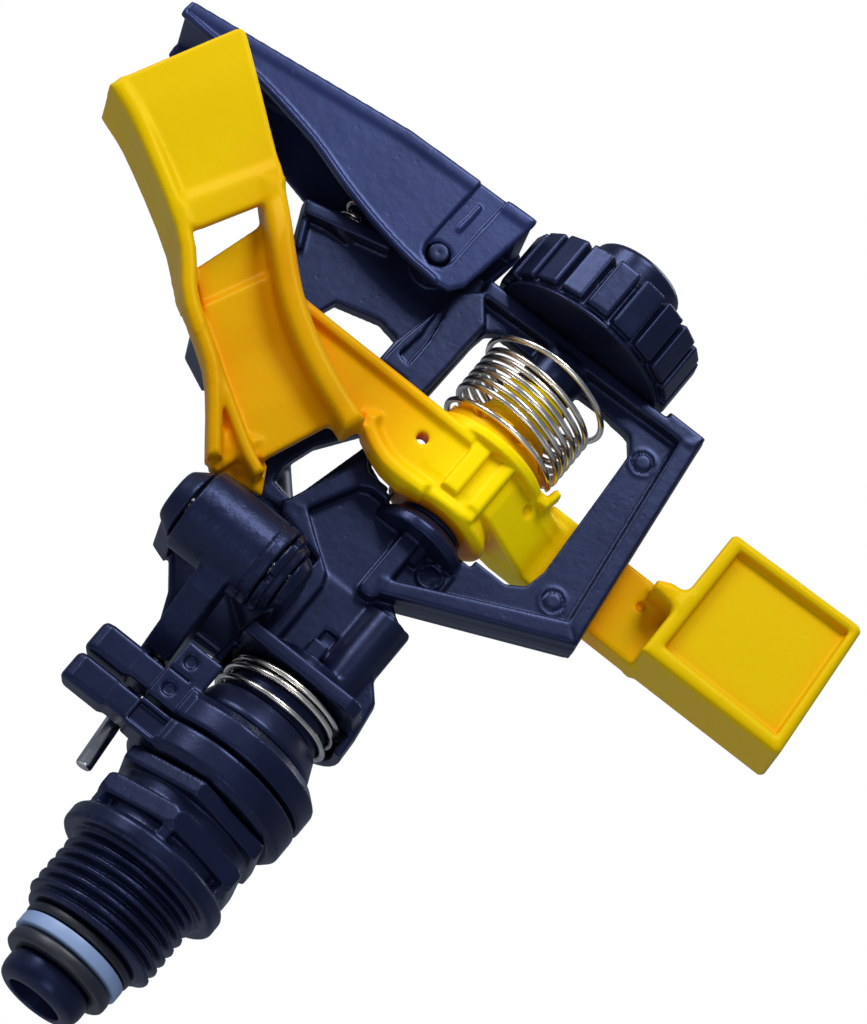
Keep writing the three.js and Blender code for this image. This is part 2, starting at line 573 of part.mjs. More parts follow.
function rangeKnob() {
  const core = KNOB.radius - 1;
  const shell = turned([
    [3.5, KNOB.z[0]], [KNOB.radius - 0.4, KNOB.z[0]], [core, KNOB.z[0] + 0.8], [core, KNOB.z[1] - 1.4],
    [core - 1, KNOB.z[1] - 0.6], [KNOB.hubRadius, KNOB.z[1] - 0.6], [KNOB.hubRadius, KNOB.hubTop - 0.8],
    [KNOB.hubRadius - 0.8, KNOB.hubTop], [4.4, KNOB.hubTop], [4.4, 110.6], [1.7, 110.6], [1.7, 107.6],
    [3.5, 107.6],
  ], 42);
  const teeth = Array.from({ length: KNOB.teeth }, (_, i) => {
    const height = KNOB.z[1] - KNOB.z[0] - 1.2;
    const tooth = new THREE.BoxGeometry(2.2, 3.7, height);
    tooth.translate(KNOB.radius - 1.1, 0, KNOB.z[1] - height / 2);
    tooth.rotateZ(((i + 0.5) * Math.PI * 2) / KNOB.teeth + KNOB.grooveAngle);
    return solid(tooth);
  });
  return join(shell, ...teeth);
}

// ---------- coil springs ----------
// The swing arm's spring: a loose foot, a close pack that leans, and a wider loop hooked on the bridge.
// Each turn's height is given a quarter turn at a time, from the right, clockwise seen from above.
const FOOT = [80.4, 80.8, 81.5, 82.1];
const TOP_LOOP = [91.6, 93.0, 92.2, 91.2];
const PACK = { turns: 6, start: 82.97, pitch: 1.34, lean: 0.07, radius: 9.2, loopRadius: 9.9 };

function armSpring() {
  const points = [];
  const corner = (quarter, radius, height) => {
    for (let k = 0; k < 4; k += 1) {
      const angle = (-(quarter + k / 4) * Math.PI) / 2;
      const x = radius(k / 4) * Math.cos(angle);
      points.push(new THREE.Vector3(x, radius(k / 4) * Math.sin(angle), height(k / 4, x)));
    }
  };
  const packHeight = (quarter, x) => PACK.start + (PACK.pitch * (quarter - 4)) / 4 - PACK.lean * x;
  const between = (from, to) => (t) => from + (to - from) * t;
  const radius = () => PACK.radius;
  const last = 4 + 4 * PACK.turns - 1;
  FOOT.forEach((height, i) => {
    const next = i < 3 ? FOOT[i + 1] : packHeight(4, PACK.radius);
    corner(i, radius, between(height, next));
  });
  for (let i = 4; i < last; i += 1) corner(i, radius, (t, x) => packHeight(i + t, x));
  corner(last, between(PACK.radius, PACK.loopRadius), between(packHeight(last, 0), TOP_LOOP[0]));
  TOP_LOOP.slice(0, 3).forEach((height, i) =>
    corner(last + 1 + i, () => PACK.loopRadius, between(height, TOP_LOOP[i + 1])));
  return swept(new THREE.CatmullRomCurve3(points), 0.45, 124, 6);
}

const bearingSpring = () => swept(new Coil(2.6, () => 8.75, (t) => 29.1 + 4 * t, 2.4), 0.45, 42, 6);

const deflectorSpring = () =>
  swept(new Coil(5, () => 1.5, (t) => 92.9 + 10.2 * t, 0, [SPRING_SEAT.x, 0]), 0.3, 50, 6);

function tripSpring() {
  const coil = swept(new Coil(5, () => 3.1, (t) => 11.2 * t, 0), 0.45, 50, 6);
  return coil.rotate([0, -90, 0]).translate([-12.1, DRUM.y, DRUM.z]);
}

// ---------- assembly ----------
const STEM_PROFILE = [
  [STEM.bore, STEM.top], [STEM.radius, STEM.top], [STEM.radius, STEM.headTop],
    [STEM.headRadius, STEM.headTop],
  [STEM.headRadius, -20], [6.0, -21.2], [5, STEM.bottom], [STEM.bore, STEM.bottom],
];
const RETAINER_PROFILE = [[7.3, 24.2], [9.9, 24.2], [9.9, 25], [8.5, 28.2], [7.3, 28.2]];
const acrossFlap = (x, z, reach) => [[x, -reach, z], [x, reach, z]];

place("inlet_nipple", inletNipple(), BLACK());
place("collar_retainer", turned(RETAINER_PROFILE), BLACK());
place("spring_sleeve", ring(7.3, 7.9, [28.5, 33.6]), BLACK());
place("bearing_spring", bearingSpring(), STEEL());
place("lower_trip_collar", tripCollar(COLLAR.lower, false), BLACK());
place("upper_trip_collar", tripCollar(COLLAR.upper, true), BLACK());
place("bearing_stem", turned(STEM_PROFILE), BLACK());
place("upper_seal_washer", ring(5.7, 8.5, [-12.8, -11.5]), RUBBER());
place("friction_washer", ring(5.7, 8.4, [-15.1, -13.1]), GREY());
place("lower_seal_washer", ring(5.7, 8.1, [-17.5, -15.4]), RUBBER());
place("head_casting", headCasting(), BLACK());
place(
  "nozzle_insert",
  cut(
    join(rod(nozzlePoint(-4.6), nozzlePoint(1.2), 3.3, 20), rod(nozzlePoint(0.7), nozzlePoint(1.9),
      4.6, 6)),
    rod(nozzlePoint(-6), nozzlePoint(3), 1.6, 16),
  ),
  BLACK(),
);
place("arm_pivot_pin", disk(PIVOT_RADIUS, [60, 97.6], 20), STEEL());
place("lower_thrust_washer", ring(2.3, 5, [64.9, 65.6], 24), BLACK());
place("arm_bush", ring(2.3, 3, [66.2, 89.8], 24), GREY());
place("upper_thrust_washer", ring(2.3, 4.6, [90.3, 91.1], 24), BLACK());
place("swing_arm", swingArm(), YELLOW());
place("arm_spring", armSpring(), STEEL());
place("trip_lever", tripLever(), NAVY());
place("trip_spring", tripSpring(), STEEL());
place("trip_axle", rod([-27.3, DRUM.y, DRUM.z], [-7.7, DRUM.y, DRUM.z], 1.5, 16), STEEL());
place("trip_end_cap", tripEndCap(), BLACK());
place("trip_pin", rod(TRIP_PIN.tip, TRIP_PIN.top, TRIP_PIN.radius, 16), STEEL());
place("deflector_flap", deflectorFlap(), NAVY());
place("deflector_pin", rod(...acrossFlap(FLAP.pivotX, FLAP.pivotZ, FLAP.y - GAP), 1.5, 16), BLACK());
place("deflector_spring", deflectorSpring(), STEEL());
place("range_knob", rangeKnob(), BLACK());
const SCREW = [[0, 101], [1.3, 101], [1.3, 110.9], [3.6, 110.9], [3.6, 112.4], [2.6, 113.2], [0, 113.2]];
place("knob_screw", turned(SCREW, 20), STEEL());

export default sprinkler;
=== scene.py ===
"""Impact sprinkler: the looks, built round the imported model.

Lengths are in millimetres until a mesh is made. Each piece starts as a distance field on a grid (Clay), as a
turned outline or as a wire, and is then fitted to the box of the CAD node that it stands in for.
"""

import json
import math

import bpy
import numpy as np
from mathutils import Matrix, Vector

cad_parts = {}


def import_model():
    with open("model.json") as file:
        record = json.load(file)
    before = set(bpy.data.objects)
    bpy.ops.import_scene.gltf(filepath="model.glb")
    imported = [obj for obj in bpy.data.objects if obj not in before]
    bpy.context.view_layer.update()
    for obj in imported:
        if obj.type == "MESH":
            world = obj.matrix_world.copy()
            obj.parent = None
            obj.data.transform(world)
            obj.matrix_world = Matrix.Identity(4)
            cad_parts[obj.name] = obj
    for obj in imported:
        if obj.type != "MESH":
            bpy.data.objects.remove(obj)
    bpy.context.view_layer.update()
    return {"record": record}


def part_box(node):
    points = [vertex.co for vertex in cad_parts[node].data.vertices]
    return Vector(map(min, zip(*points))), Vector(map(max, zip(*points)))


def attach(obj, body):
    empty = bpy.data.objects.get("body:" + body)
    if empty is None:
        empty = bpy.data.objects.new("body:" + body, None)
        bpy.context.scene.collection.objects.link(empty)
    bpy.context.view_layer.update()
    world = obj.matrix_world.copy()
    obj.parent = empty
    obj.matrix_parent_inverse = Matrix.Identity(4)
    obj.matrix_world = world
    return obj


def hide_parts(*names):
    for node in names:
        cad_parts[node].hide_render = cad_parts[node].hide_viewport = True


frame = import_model()
STEP = 0.3  # grid step of the moulded pieces
BEND_MARGIN = 14  # room left on the grid for a bent slab

# ---------- driving sizes and places, in millimetres ----------
RIM, WEB = 3.4, 1.3  # half depths of the bridge's rims and of its web
TRIP_AXLE = (-11, 42.6)  # y and z of the trip lever's axle
DRUM_RADIUS = 6.35  # of the trip lever's drum
FLAP_PIVOT = (-23, 95.6)  # x and z of the flap's pivot
FLAP_STUD = -36.4  # x of the stud under the flap, which holds the flap's spring
AXLE_BORE, PIN_BORE = 1.8, 2.3  # radii of the holes for the small axles and for the arm's pivot pin
NIPPLE_BORE, COLLAR_BORE, BARREL_BORE = 5.9, 8.95, 3.3  # radii
THREAD_PITCH, THREAD_CREST, THREAD_ROOT = 1.814, 10.34, 9.18  # crest and root are radii
HEXAGON_FLATS = 22.4  # width across the flats
LOWER_COLLAR, UPPER_COLLAR = (13.3, 18.2), (18.6, 23.6)  # bottom and top of each ring
KNOB_TEETH, KNOB_GROOVE = 20, math.radians(-82.6)  # how many ribs, and where one groove lies
WIRE = 0.45  # radius of the spring wire
# the riser barrel's middle line, its end at the nozzle, and the nozzle's tilt
BARREL = [
    (0.5, 2.9, 40), (-8, 4.2, 42.5), (-17, 4.6, 50), (-27, 3, 60.5), (-34.4, 0.8, 68.1), (-40.6, 0, 71.4),
]
NOZZLE = (-40.8, 0, 71.5)
TILT = math.radians(28)


# ---------- distance shapes ----------
def polygon(px, pz, points):
    """Signed distance to a closed outline, negative inside."""
    shape = np.broadcast(px, pz).shape
    nearest = np.full(shape, 1e9, np.float32)
    sign = np.ones(shape, np.float32)
    for (ax, az), (bx, bz) in zip(points, points[1:] + points[:1]):
        ex, ez = bx - ax, bz - az
        wx, wz = px - ax, pz - az
        t = np.clip((wx * ex + wz * ez) / (ex * ex + ez * ez + 1e-12), 0, 1)
        nearest = np.minimum(nearest, (wx - ex * t) ** 2 + (wz - ez * t) ** 2)
        above, below, side = pz >= az, pz < bz, ex * wz > ez * wx
        sign = np.where((above & below & side) | ~(above | below | side), -sign, sign)
    return sign * np.sqrt(nearest)


def prism(flat, along, edge):
    """A flat outline's distance made solid along a third axis, with its rims rounded by edge."""
    a, b = flat + edge, along + edge
    return np.minimum(np.maximum(a, b), 0) + np.hypot(np.maximum(a, 0), np.maximum(b, 0)) - edge


def extruded(axis, points, start, end, edge, bend=None):
    """An outline in the plane across an axis, solid between two values on that axis."""
    u, v = (i for i in range(3) if i != axis)
    margin = BEND_MARGIN if bend else 0
    low, high = np.zeros(3), np.zeros(3)
    low[[u, v]], high[[u, v]] = np.min(points, 0), np.max(points, 0)
    low[axis], high[axis] = start - margin, end + margin

    def distance(*place):
        depth = place[axis] - (bend(place[u], place[v]) if bend else 0)
        flat = polygon(place[u], place[v], points)
        return prism(flat, np.abs(depth - (start + end) / 2) - (end - start) / 2, edge)

    return low, high, distance


def slab(points, y0, y1, edge=0.3, bend=None):
    """An outline in XZ, solid between two depths. bend(x, z) shifts its depth."""
    return extruded(1, points, y0, y1, edge, bend)


def layer(points, z0, z1, edge=0.3):
    """An outline in XY, solid between two heights."""
    return extruded(2, points, z0, z1, edge)


def side(points, x0, x1, edge=0.3):
    """An outline in YZ, solid between two x."""
    return extruded(0, points, x0, x1, edge)


def block(x, y, z, edge=0.3):
    return slab([(x[0], z[0]), (x[1], z[0]), (x[1], z[1]), (x[0], z[1])], y[0], y[1], edge)


def turned(profile):
    """A solid of revolution round the Z axis, from a closed outline of (radius, z)."""
    widest = max(r for r, _ in profile)
    heights = [z for _, z in profile]

    def distance(x, y, z):
        return polygon(np.hypot(x, y), z, profile)

    return (-widest, -widest, min(heights)), (widest, widest, max(heights)), distance


def rod(start, end, r0, r1=None, edge=0.2):
    """A round bar or cone between two points."""
    start, end = np.array(start, float), np.array(end, float)
    r1 = r0 if r1 is None else r1
    length = np.linalg.norm(end - start)
    along = (end - start) / length
    wide = max(r0, r1)

    def distance(x, y, z):
        dx, dy, dz = x - start[0], y - start[1], z - start[2]
        t = dx * along[0] + dy * along[1] + dz * along[2]
        radial = np.sqrt(np.maximum(dx * dx + dy * dy + dz * dz - t * t, 0))
        radius = r0 + (r1 - r0) * np.clip(t / length, 0, 1)
        return prism(radial - radius, np.abs(t - length / 2) - length / 2, edge)

    low, high = np.minimum(start, end) - wide, np.maximum(start, end) + wide
    return low, high, distance


def upright(z0, z1, *radii, edge=0.2):
    """A rod on the inlet's axis."""
    return rod((0, 0, z0), (0, 0, z1), *radii, edge=edge)


def on_axle(x0, x1, *radii, edge=0.2):
    """A rod on the trip lever's axle."""
    return rod((x0, *TRIP_AXLE), (x1, *TRIP_AXLE), *radii, edge=edge)


def crosswise(x, z, y0, y1, radius, edge=0.2):
    """A rod from front to back."""
    return rod((x, y0, z), (x, y1, z), radius, edge=edge)


def pipe(points, radius):
    """A round section along a chain of points."""
    points = [np.array(p, float) for p in points]
    low, high = np.min(points, 0) - radius, np.max(points, 0) + radius

    def distance(x, y, z):
        nearest = None
        for a, b in zip(points, points[1:]):
            e = b - a
            w = (x - a[0], y - a[1], z - a[2])
            t = np.clip((w[0] * e[0] + w[1] * e[1] + w[2] * e[2]) / (e @ e), 0, 1)
            d = sum((wi - ei * t) ** 2 for wi, ei in zip(w, e))
            nearest = d if nearest is None else np.minimum(nearest, d)
        return np.sqrt(nearest) - radius

    return low, high, distance


def curve_through(points, count):
    """Points spaced evenly in parameter along a Catmull-Rom curve through the given ones."""
    p = np.array(points, float)
    p = np.vstack([2 * p[0] - p[1], p, 2 * p[-1] - p[-2]])
    spans = len(p) - 3
    out = []
    for i in range(count + 1):
        s = min(i / count * spans, spans - 1e-9)
        j, t = int(s), s - int(s)
        a, b, c, d = p[j : j + 4]
        bend, twist = 2 * a - 5 * b + 4 * c - d, 3 * b - a - 3 * c + d
        out.append(0.5 * (2 * b + (c - a) * t + bend * t**2 + twist * t**3))
    return [tuple(q) for q in out]


def strip(points, width, count=18):
    """A band of even width along a smooth curve, as a closed outline."""
    middle = np.array(curve_through(points, count))
    along = np.gradient(middle, axis=0)
    along /= np.linalg.norm(along, axis=1)[:, None]
    across = np.column_stack([-along[:, 1], along[:, 0]]) * width / 2
    return [tuple(q) for q in np.vstack([middle + across, (middle - across)[::-1]])]


def smooth_step(value, low, high):
    t = np.clip((value - low) / (high - low), 0, 1)
    return t * t * (3 - 2 * t)


def trimmed(shape, outside):
    """The shape without what lies where outside(x, y, z) is positive."""
    low, high, distance = shape
    return low, high, lambda x, y, z: np.maximum(distance(x, y, z), outside(x, y, z))


class Clay:
    """Distance values on a grid round one CAD node, in millimetres, that shapes are added to and cut from."""

    def __init__(self, node, step=STEP):
        low, high = (np.array(corner) * 1000 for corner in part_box(node))
        self.step, self.low = step, low - 3.5 * step
        self.count = np.ceil((high - self.low) / step).astype(int) + 5
        self.d = np.full(self.count, 20.0, np.float32)

    def part(self, low, high, margin):
        first = np.maximum(np.floor((np.array(low) - margin - self.low) / self.step).astype(int), 0)
        last = np.ceil((np.array(high) + margin - self.low) / self.step).astype(int) + 1
        last = np.minimum(last, self.count)
        if (last <= first).any():
            return None
        x, y, z = (
            (self.low[i] + self.step * np.arange(first[i], last[i])).astype(np.float32) for i in range(3)
        )
        cells = tuple(slice(a, b) for a, b in zip(first, last))
        return cells, x[:, None, None], y[None, :, None], z[None, None, :]

    def merge(self, shape, blend, sign):
        """Joins the shape to the clay when sign is 1, and cuts it away when sign is -1."""
        found = self.part(shape[0], shape[1], blend + 3 * self.step)
        if found:
            cells, x, y, z = found
            old, new = sign * self.d[cells], shape[2](x, y, z)
            overlap = np.maximum(blend - np.abs(old - new), 0) if blend else 0
            self.d[cells] = sign * (np.minimum(old, new) - (overlap * overlap / (4 * blend) if blend else 0))

    def add(self, shape, blend=0.6):
        self.merge(shape, blend, 1)

    def cut(self, shape, blend=0.3):
        self.merge(shape, blend, -1)

    def surface(self):
        """The zero surface as vertices and quads: one vertex in each cell that the surface crosses."""
        d, inside = self.d, self.d < 0
        corners = [(i, j, k) for i in (0, 1) for j in (0, 1) for k in (0, 1)]
        nx, ny, nz = (n - 1 for n in d.shape)
        full = sum(inside[i : i + nx, j : j + ny, k : k + nz].astype(np.int8) for i, j, k in corners)
        cell = np.argwhere((full > 0) & (full < 8))
        number = np.full((nx, ny, nz), -1, np.int32)
        number[tuple(cell.T)] = np.arange(len(cell))
        values = {c: d[cell[:, 0] + c[0], cell[:, 1] + c[1], cell[:, 2] + c[2]] for c in corners}
        total, hits = np.zeros((len(cell), 3)), np.zeros(len(cell))
        for a in corners:
            for axis in range(3):
                if a[axis]:
                    continue
                b = tuple(v + (i == axis) for i, v in enumerate(a))
                va, vb = values[a], values[b]
                cross = (va < 0) != (vb < 0)
                t = np.where(cross, va / np.where(cross, va - vb, 1), 0)
                point = np.tile(np.array(a, float), (len(cell), 1))
                point[:, axis] += t
                total[cross] += point[cross]
                hits[cross] += 1
        vertices = self.low + self.step * (cell + total / hits[:, None])
        quads = []
        for axis in range(3):
            u, v = (axis + 1) % 3, (axis + 2) % 3
            first = np.moveaxis(inside, axis, 0)
            edge = np.argwhere(first[:-1] != first[1:])
            at = np.insert(edge[:, 1:], axis, edge[:, 0], axis=1)
            outward = inside[tuple(at.T)]
            ring = []
            for du, dv in ((-1, -1), (0, -1), (0, 0), (-1, 0)):
                spot = at.copy()
                spot[:, u] += du
                spot[:, v] += dv
                ring.append(number[tuple(spot.T)])
            quad = np.column_stack(ring)
            quad[~outward] = quad[~outward][:, ::-1]
            quads.append(quad)
        return vertices, np.vstack(quads)


# ---------- materials ----------
class Paint:
    """A procedural material: nodes are added by short calls and wired by name."""

    def __init__(self, name, rough, metal=0.0):
        self.material = bpy.data.materials.new(name)
        self.material.use_nodes = True
        self.nodes, self.links = self.material.node_tree.nodes, self.material.node_tree.links
        self.shader = self.nodes["Principled BSDF"]
        self.shader.inputs["Metallic"].default_value = metal
        self.shader.inputs["Roughness"].default_value = rough
        self.place = self.node("TexCoord").outputs["Object"]

    def node(self, kind, **inputs):
        """Adds a node. Each input is given as a value, or as the socket that it is linked from."""
        node = self.nodes.new("ShaderNode" + kind)
        for name, value in inputs.items():
            target = node.inputs[name.replace("_", " ")]
            if isinstance(value, bpy.types.NodeSocket):
                self.links.new(value, target)
            else:
                target.default_value = value
        return node

    def noise(self, scale, detail=3.0, rough=0.5, stretch=None):
        place = self.place
        if stretch:
            place = self.node("Mapping", Scale=stretch, Vector=place).outputs["Vector"]
        return self.node("TexNoise", Scale=scale, Detail=detail, Roughness=rough, Vector=place).outputs["Fac"]

    def spots(self, scale, size):
        node = self.node("TexVoronoi", Scale=scale, Vector=self.place)
        return self.ramp(node.outputs["Distance"], [(0.0, 0.0), (size, 1.0)])

    def ramp(self, value, stops):
        node = self.node("ValToRGB", Fac=value)
        ramp = node.color_ramp
        while len(ramp.elements) < len(stops):
            ramp.elements.new(0.5)
        for element, (at, colour) in zip(ramp.elements, stops):
            element.position = at
            colour = (colour,) * 3 if isinstance(colour, float) else colour
            element.color = (*colour, 1)
        return node.outputs["Color"]

    def mix(self, factor, a, b):
        node = self.node("Mix")
        node.data_type = "RGBA"
        for socket, value in (("Factor", factor), ("A", a), ("B", b)):
            # a mix node keeps float, vector and colour sockets under one name
            target = [s for s in node.inputs if s.name == socket and s.enabled][0]
            if isinstance(value, bpy.types.NodeSocket):
                self.links.new(value, target)
            elif socket == "Factor":
                target.default_value = value
            else:
                target.default_value = (*value, 1)
        return [s for s in node.outputs if s.enabled][0]

    def along(self, axis, low, high):
        """A coordinate of the object, from 0 at low to 1 at high, in metres."""
        split = self.node("SeparateXYZ", Vector=self.place)
        return self.node("MapRange", From_Min=low, From_Max=high, Value=split.outputs[axis]).outputs["Result"]

    def hollows(self, distance, low=0.25, high=0.95):
        """How open the surface is: 0 in hollows and 1 on open faces."""
        node = self.node("AmbientOcclusion", Distance=distance)
        node.samples = 8
        return self.ramp(node.outputs["AO"], [(low, 0.0), (high, 1.0)])

    def edges(self, low=0.52, high=0.62):
        """Convex edges, for wear and a painted edge highlight: 1 on edges and 0 on flats."""
        node = self.node("NewGeometry")
        return self.ramp(node.outputs["Pointiness"], [(low, 0.0), (high, 1.0)])

    def colour(self, value):
        self.links.new(value, self.shader.inputs["Base Color"])

    def roughness(self, value, low, high):
        node = self.node("MapRange", To_Min=low, To_Max=high, Value=value)
        self.links.new(node.outputs["Result"], self.shader.inputs["Roughness"])

    def bump(self, *layers):
        """Each layer is (height, depth in millimetres, strength)."""
        normal = None
        for height, depth, strength in layers:
            node = self.node("Bump", Distance=depth * 0.001, Strength=strength, Height=height)
            if normal:
                self.links.new(normal, node.inputs["Normal"])
            normal = node.outputs["Normal"]
        self.links.new(normal, self.shader.inputs["Normal"])


BLACK, BLACK_EDGE = (0.0042, 0.0054, 0.0165), (0.012, 0.0155, 0.046)


def black_plastic(name, base=BLACK, lift=BLACK_EDGE, grain=0.05, low=0.24, high=0.40):
    paint = Paint(name, 0.3)
    paint.shader.inputs["Specular IOR Level"].default_value = 0.5
    paint.shader.inputs["Specular Tint"].default_value = (0.36, 0.46, 1.0, 1)
    cloud = paint.noise(90, 4)
    # convex edges are lifted to a bluish tone: partly wear, partly a painted highlight along the edges
    wear_and_painted_edge_highlight = paint.mix(paint.edges(), base, lift)
    paint.colour(paint.mix(paint.ramp(cloud, [(0.35, 0.0), (0.7, 0.55)]), wear_and_painted_edge_highlight, lift))
    paint.roughness(paint.noise(260, 5, 0.6), low, high)
    paint.bump(
        (paint.noise(700, 4), grain, 0.6),
        (paint.noise(160, 2), 0.12, 0.35),
        (paint.spots(420, 0.16), 0.05, 0.3),
    )
    return paint.material


def yellow_plastic(name):
    paint = Paint(name, 0.34)
    paint.shader.inputs["Specular IOR Level"].default_value = 0.26
    paint.shader.inputs["Specular Tint"].default_value = (1.0, 0.78, 0.06, 1)
    open_face = paint.hollows(0.004, 0.35, 0.95)
    # the moulding is lemon at its ends and warmer along its bar; the ramp also paints shade in deep orange
    # over the trough, upper wall and arm's left, and a painted highlight, brightest at the hub, over the hub
    # and the bar beside it
    lemon, warm, painted_highlight_yellow = (0.69, 0.455, 0.0007), (0.82, 0.38, 0.0005), (1.0, 0.76, 0.001)
    painted_shade_orange = (0.56, 0.225, 0.0004)
    stops = [
        (0.04, lemon), (0.2, painted_shade_orange), (0.34, painted_shade_orange), (0.4, warm), (0.48, painted_highlight_yellow), (0.62, painted_highlight_yellow),
        (0.72, warm), (0.78, lemon),
    ]
    tone_and_painted_light = paint.ramp(paint.along("X", -0.06, 0.06), stops)
    cloud = paint.mix(paint.ramp(paint.noise(55, 4), [(0.3, 0.0), (0.75, 0.35)]), tone_and_painted_light, lemon)
    # painted shade: where ambient occlusion finds a hollow, the yellow is painted down to a darker orange
    hollow = (0.74, 0.22, 0.0)
    paint.colour(paint.mix(open_face, hollow, cloud))
    paint.roughness(paint.noise(240, 5, 0.6), 0.30, 0.46)
    paint.shader.inputs["Subsurface Weight"].default_value = 0.06
    paint.shader.inputs["Subsurface Radius"].default_value = (0.004, 0.0018, 0.0)
    paint.bump(
        (paint.noise(650, 4), 0.05, 0.5),
        (paint.noise(120, 2), 0.15, 0.3),
        (paint.spots(360, 0.14), 0.06, 0.35),
    )
    return paint.material


def steel_wire(name, tint=(0.87, 0.82, 0.74)):
    paint = Paint(name, 0.2, metal=1.0)
    dark = tuple(c * 0.62 for c in tint)
    paint.colour(paint.mix(paint.ramp(paint.noise(300, 4), [(0.4, 0.0), (0.7, 1.0)]), tint, dark))
    paint.roughness(paint.noise(900, 3), 0.14, 0.3)
    paint.bump((paint.noise(1500, 2, stretch=(1, 1, 8)), 0.02, 0.3))
    return paint.material


def washer_plastic(name):
    paint = Paint(name, 0.4)
    paint.colour(paint.ramp(paint.noise(140, 4), [(0.3, (0.20, 0.29, 0.50)), (0.7, (0.30, 0.40, 0.62))]))
    paint.roughness(paint.noise(300, 3), 0.32, 0.5)
    paint.bump((paint.noise(500, 4), 0.05, 0.4))
    return paint.material


def seal_rubber(name):
    paint = Paint(name, 0.5)
    paint.colour(paint.ramp(paint.noise(200, 3), [(0.3, (0.007, 0.008, 0.014)), (0.7, (0.018, 0.02, 0.034))]))
    paint.roughness(paint.noise(320, 4), 0.34, 0.52)
    paint.bump((paint.noise(800, 3), 0.06, 0.5))
    return paint.material


MATERIALS = {
    "black_plastic": black_plastic("moulded black"),
    "yellow_plastic": yellow_plastic("moulded yellow"),
    "spring_steel": steel_wire("spring wire"),
    "steel": steel_wire("ground pin", (0.74, 0.73, 0.72)),
    "seal_rubber": seal_rubber("seal rubber"),
    "grey_washer": washer_plastic("grey washer"),
}
TEXTURED_BLACK = black_plastic("textured black", grain=0.22, low=0.3, high=0.46)
# painted light: a lighter, bluer copy of the black plastic for the flap, which stands near the key lamp
BLACK_PAINTED_LIT = black_plastic("moulded black_painted_lit", (0.012, 0.017, 0.058), (0.024, 0.034, 0.11))

SLOTS = {part["node"]: part["material_slot"] for part in frame["record"]["subparts"]}
BODIES = {node: body for body, nodes in frame["record"]["behaviour"]["bodies"].items() for node in nodes}


# ---------- pieces ----------
def placed(name, data):
    """A new object in the scene."""
    item = bpy.data.objects.new(name, data)
    bpy.context.scene.collection.objects.link(item)
    return item


def stand_in(node, vertices, faces, material=None, smooth=1):
    """A mesh in millimetres takes the place of a CAD node and fills the same box."""
    vertices = np.array(vertices, float)
    low, high = (np.array(corner) * 1000 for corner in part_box(node))
    least, most = vertices.min(0), vertices.max(0)
    vertices = (low + (vertices - least) * (high - low) / (most - least)) * 0.001
    mesh = bpy.data.meshes.new(node + "_shape")
    mesh.from_pydata(vertices.tolist(), [], [list(map(int, f)) for f in faces])
    mesh.validate()
    mesh.update()
    mesh.polygons.foreach_set("use_smooth", [True] * len(mesh.polygons))
    piece = placed(node + "_piece", mesh)
    if smooth:
        relax = piece.modifiers.new("relax", "SMOOTH")
        relax.factor, relax.iterations = 0.5, smooth
    mesh.materials.append(material or MATERIALS[SLOTS[node]])
    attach(piece, BODIES[node])
    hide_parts(node)
    return piece


def moulded(node, clay, material=None):
    vertices, quads = clay.surface()
    return stand_in(node, vertices, quads, material)


def lathe(profile, segments):
    """A closed outline of (radius, z) turned round Z."""
    count = len(profile)
    vertices, faces = [], []
    for i in range(segments):
        angle = 2 * math.pi * i / segments
        for radius, z in profile:
            vertices.append((radius * math.cos(angle), radius * math.sin(angle), z))
    for i in range(segments):
        for j in range(count):
            a, b = i * count + j, i * count + (j + 1) % count
            c, d = ((i + 1) % segments) * count + (j + 1) % count, ((i + 1) % segments) * count + j
            faces.append((a, d, c, b))
    return vertices, faces


def eased(profile, radius=0.25, parts=3):
    """The outline with each corner turned into a small round."""
    out = []
    points = [np.array(p, float) for p in profile]
    for i, p in enumerate(points):
        before, after = points[i - 1] - p, points[(i + 1) % len(points)] - p
        a, b = np.linalg.norm(before), np.linalg.norm(after)
        r = min(radius, a * 0.4, b * 0.4)
        start, end = p + before / a * r, p + after / b * r
        for k in range(parts + 1):
            t = k / parts
            out.append(tuple((1 - t) ** 2 * start + 2 * t * (1 - t) * p + t * t * end))
    return out


def tube(points, radius, sides=12):
    """A wire of round section along many points, closed by narrowed ends."""
    p = np.array(points, float)
    along = np.gradient(p, axis=0)
    along /= np.linalg.norm(along, axis=1)[:, None]
    normal = np.cross(along[0], (0.3, 0.2, 1.0))
    vertices, faces = [], []
    for i, (q, t) in enumerate(zip(p, along)):
        normal = normal - t * (normal @ t)
        normal /= np.linalg.norm(normal)
        other = np.cross(t, normal)
        shrink = 0.6 if i in (0, len(p) - 1) else 1.0
        for k in range(sides):
            a = 2 * math.pi * k / sides
            vertices.append(q + radius * shrink * (normal * math.cos(a) + other * math.sin(a)))
    for i in range(len(p) - 1):
        for k in range(sides):
            a, b = i * sides + k, i * sides + (k + 1) % sides
            faces.append((a, b, b + sides, a + sides))
    faces.append(tuple(range(sides))[::-1])
    last = (len(p) - 1) * sides
    faces.append(tuple(range(last, last + sides)))
    return vertices, faces


# ---------- the swing arm ----------
def beyond(x, z, start, end):
    """Signed distance from a line through two points of the XZ plane, positive on its left."""
    (ax, az), (bx, bz) = start, end
    length = math.hypot(bx - ax, bz - az)
    return ((bx - ax) * (z - az) - (bz - az) * (x - ax)) / length


def vane_bend(x, z):
    """Past a band beside the window the vane steps back, and comes forward again toward its free end."""
    past = -beyond(x, z, (-45.9, 84.7), (-50.7, 75.5))
    return 0.7 * smooth_step(past, 3.0, 5.8) * (1 - smooth_step(past, 7, 20))


def floor_bend(x, z):
    """The trough's floor lies deeper beside the window, and comes forward at its far end."""
    past = beyond(x, z, (-43.5, 80.9), (-47.2, 72.5))
    return 1.0 * (1 - smooth_step(past, 4.6, 6.2)) - 0.9 * smooth_step(past, 14, 24)


def wall_rise(x, z):
    """The upper wall starts level with the vane and rises to its full height."""
    return 2.1 * (1 - smooth_step(x, -46.4, -39.5))


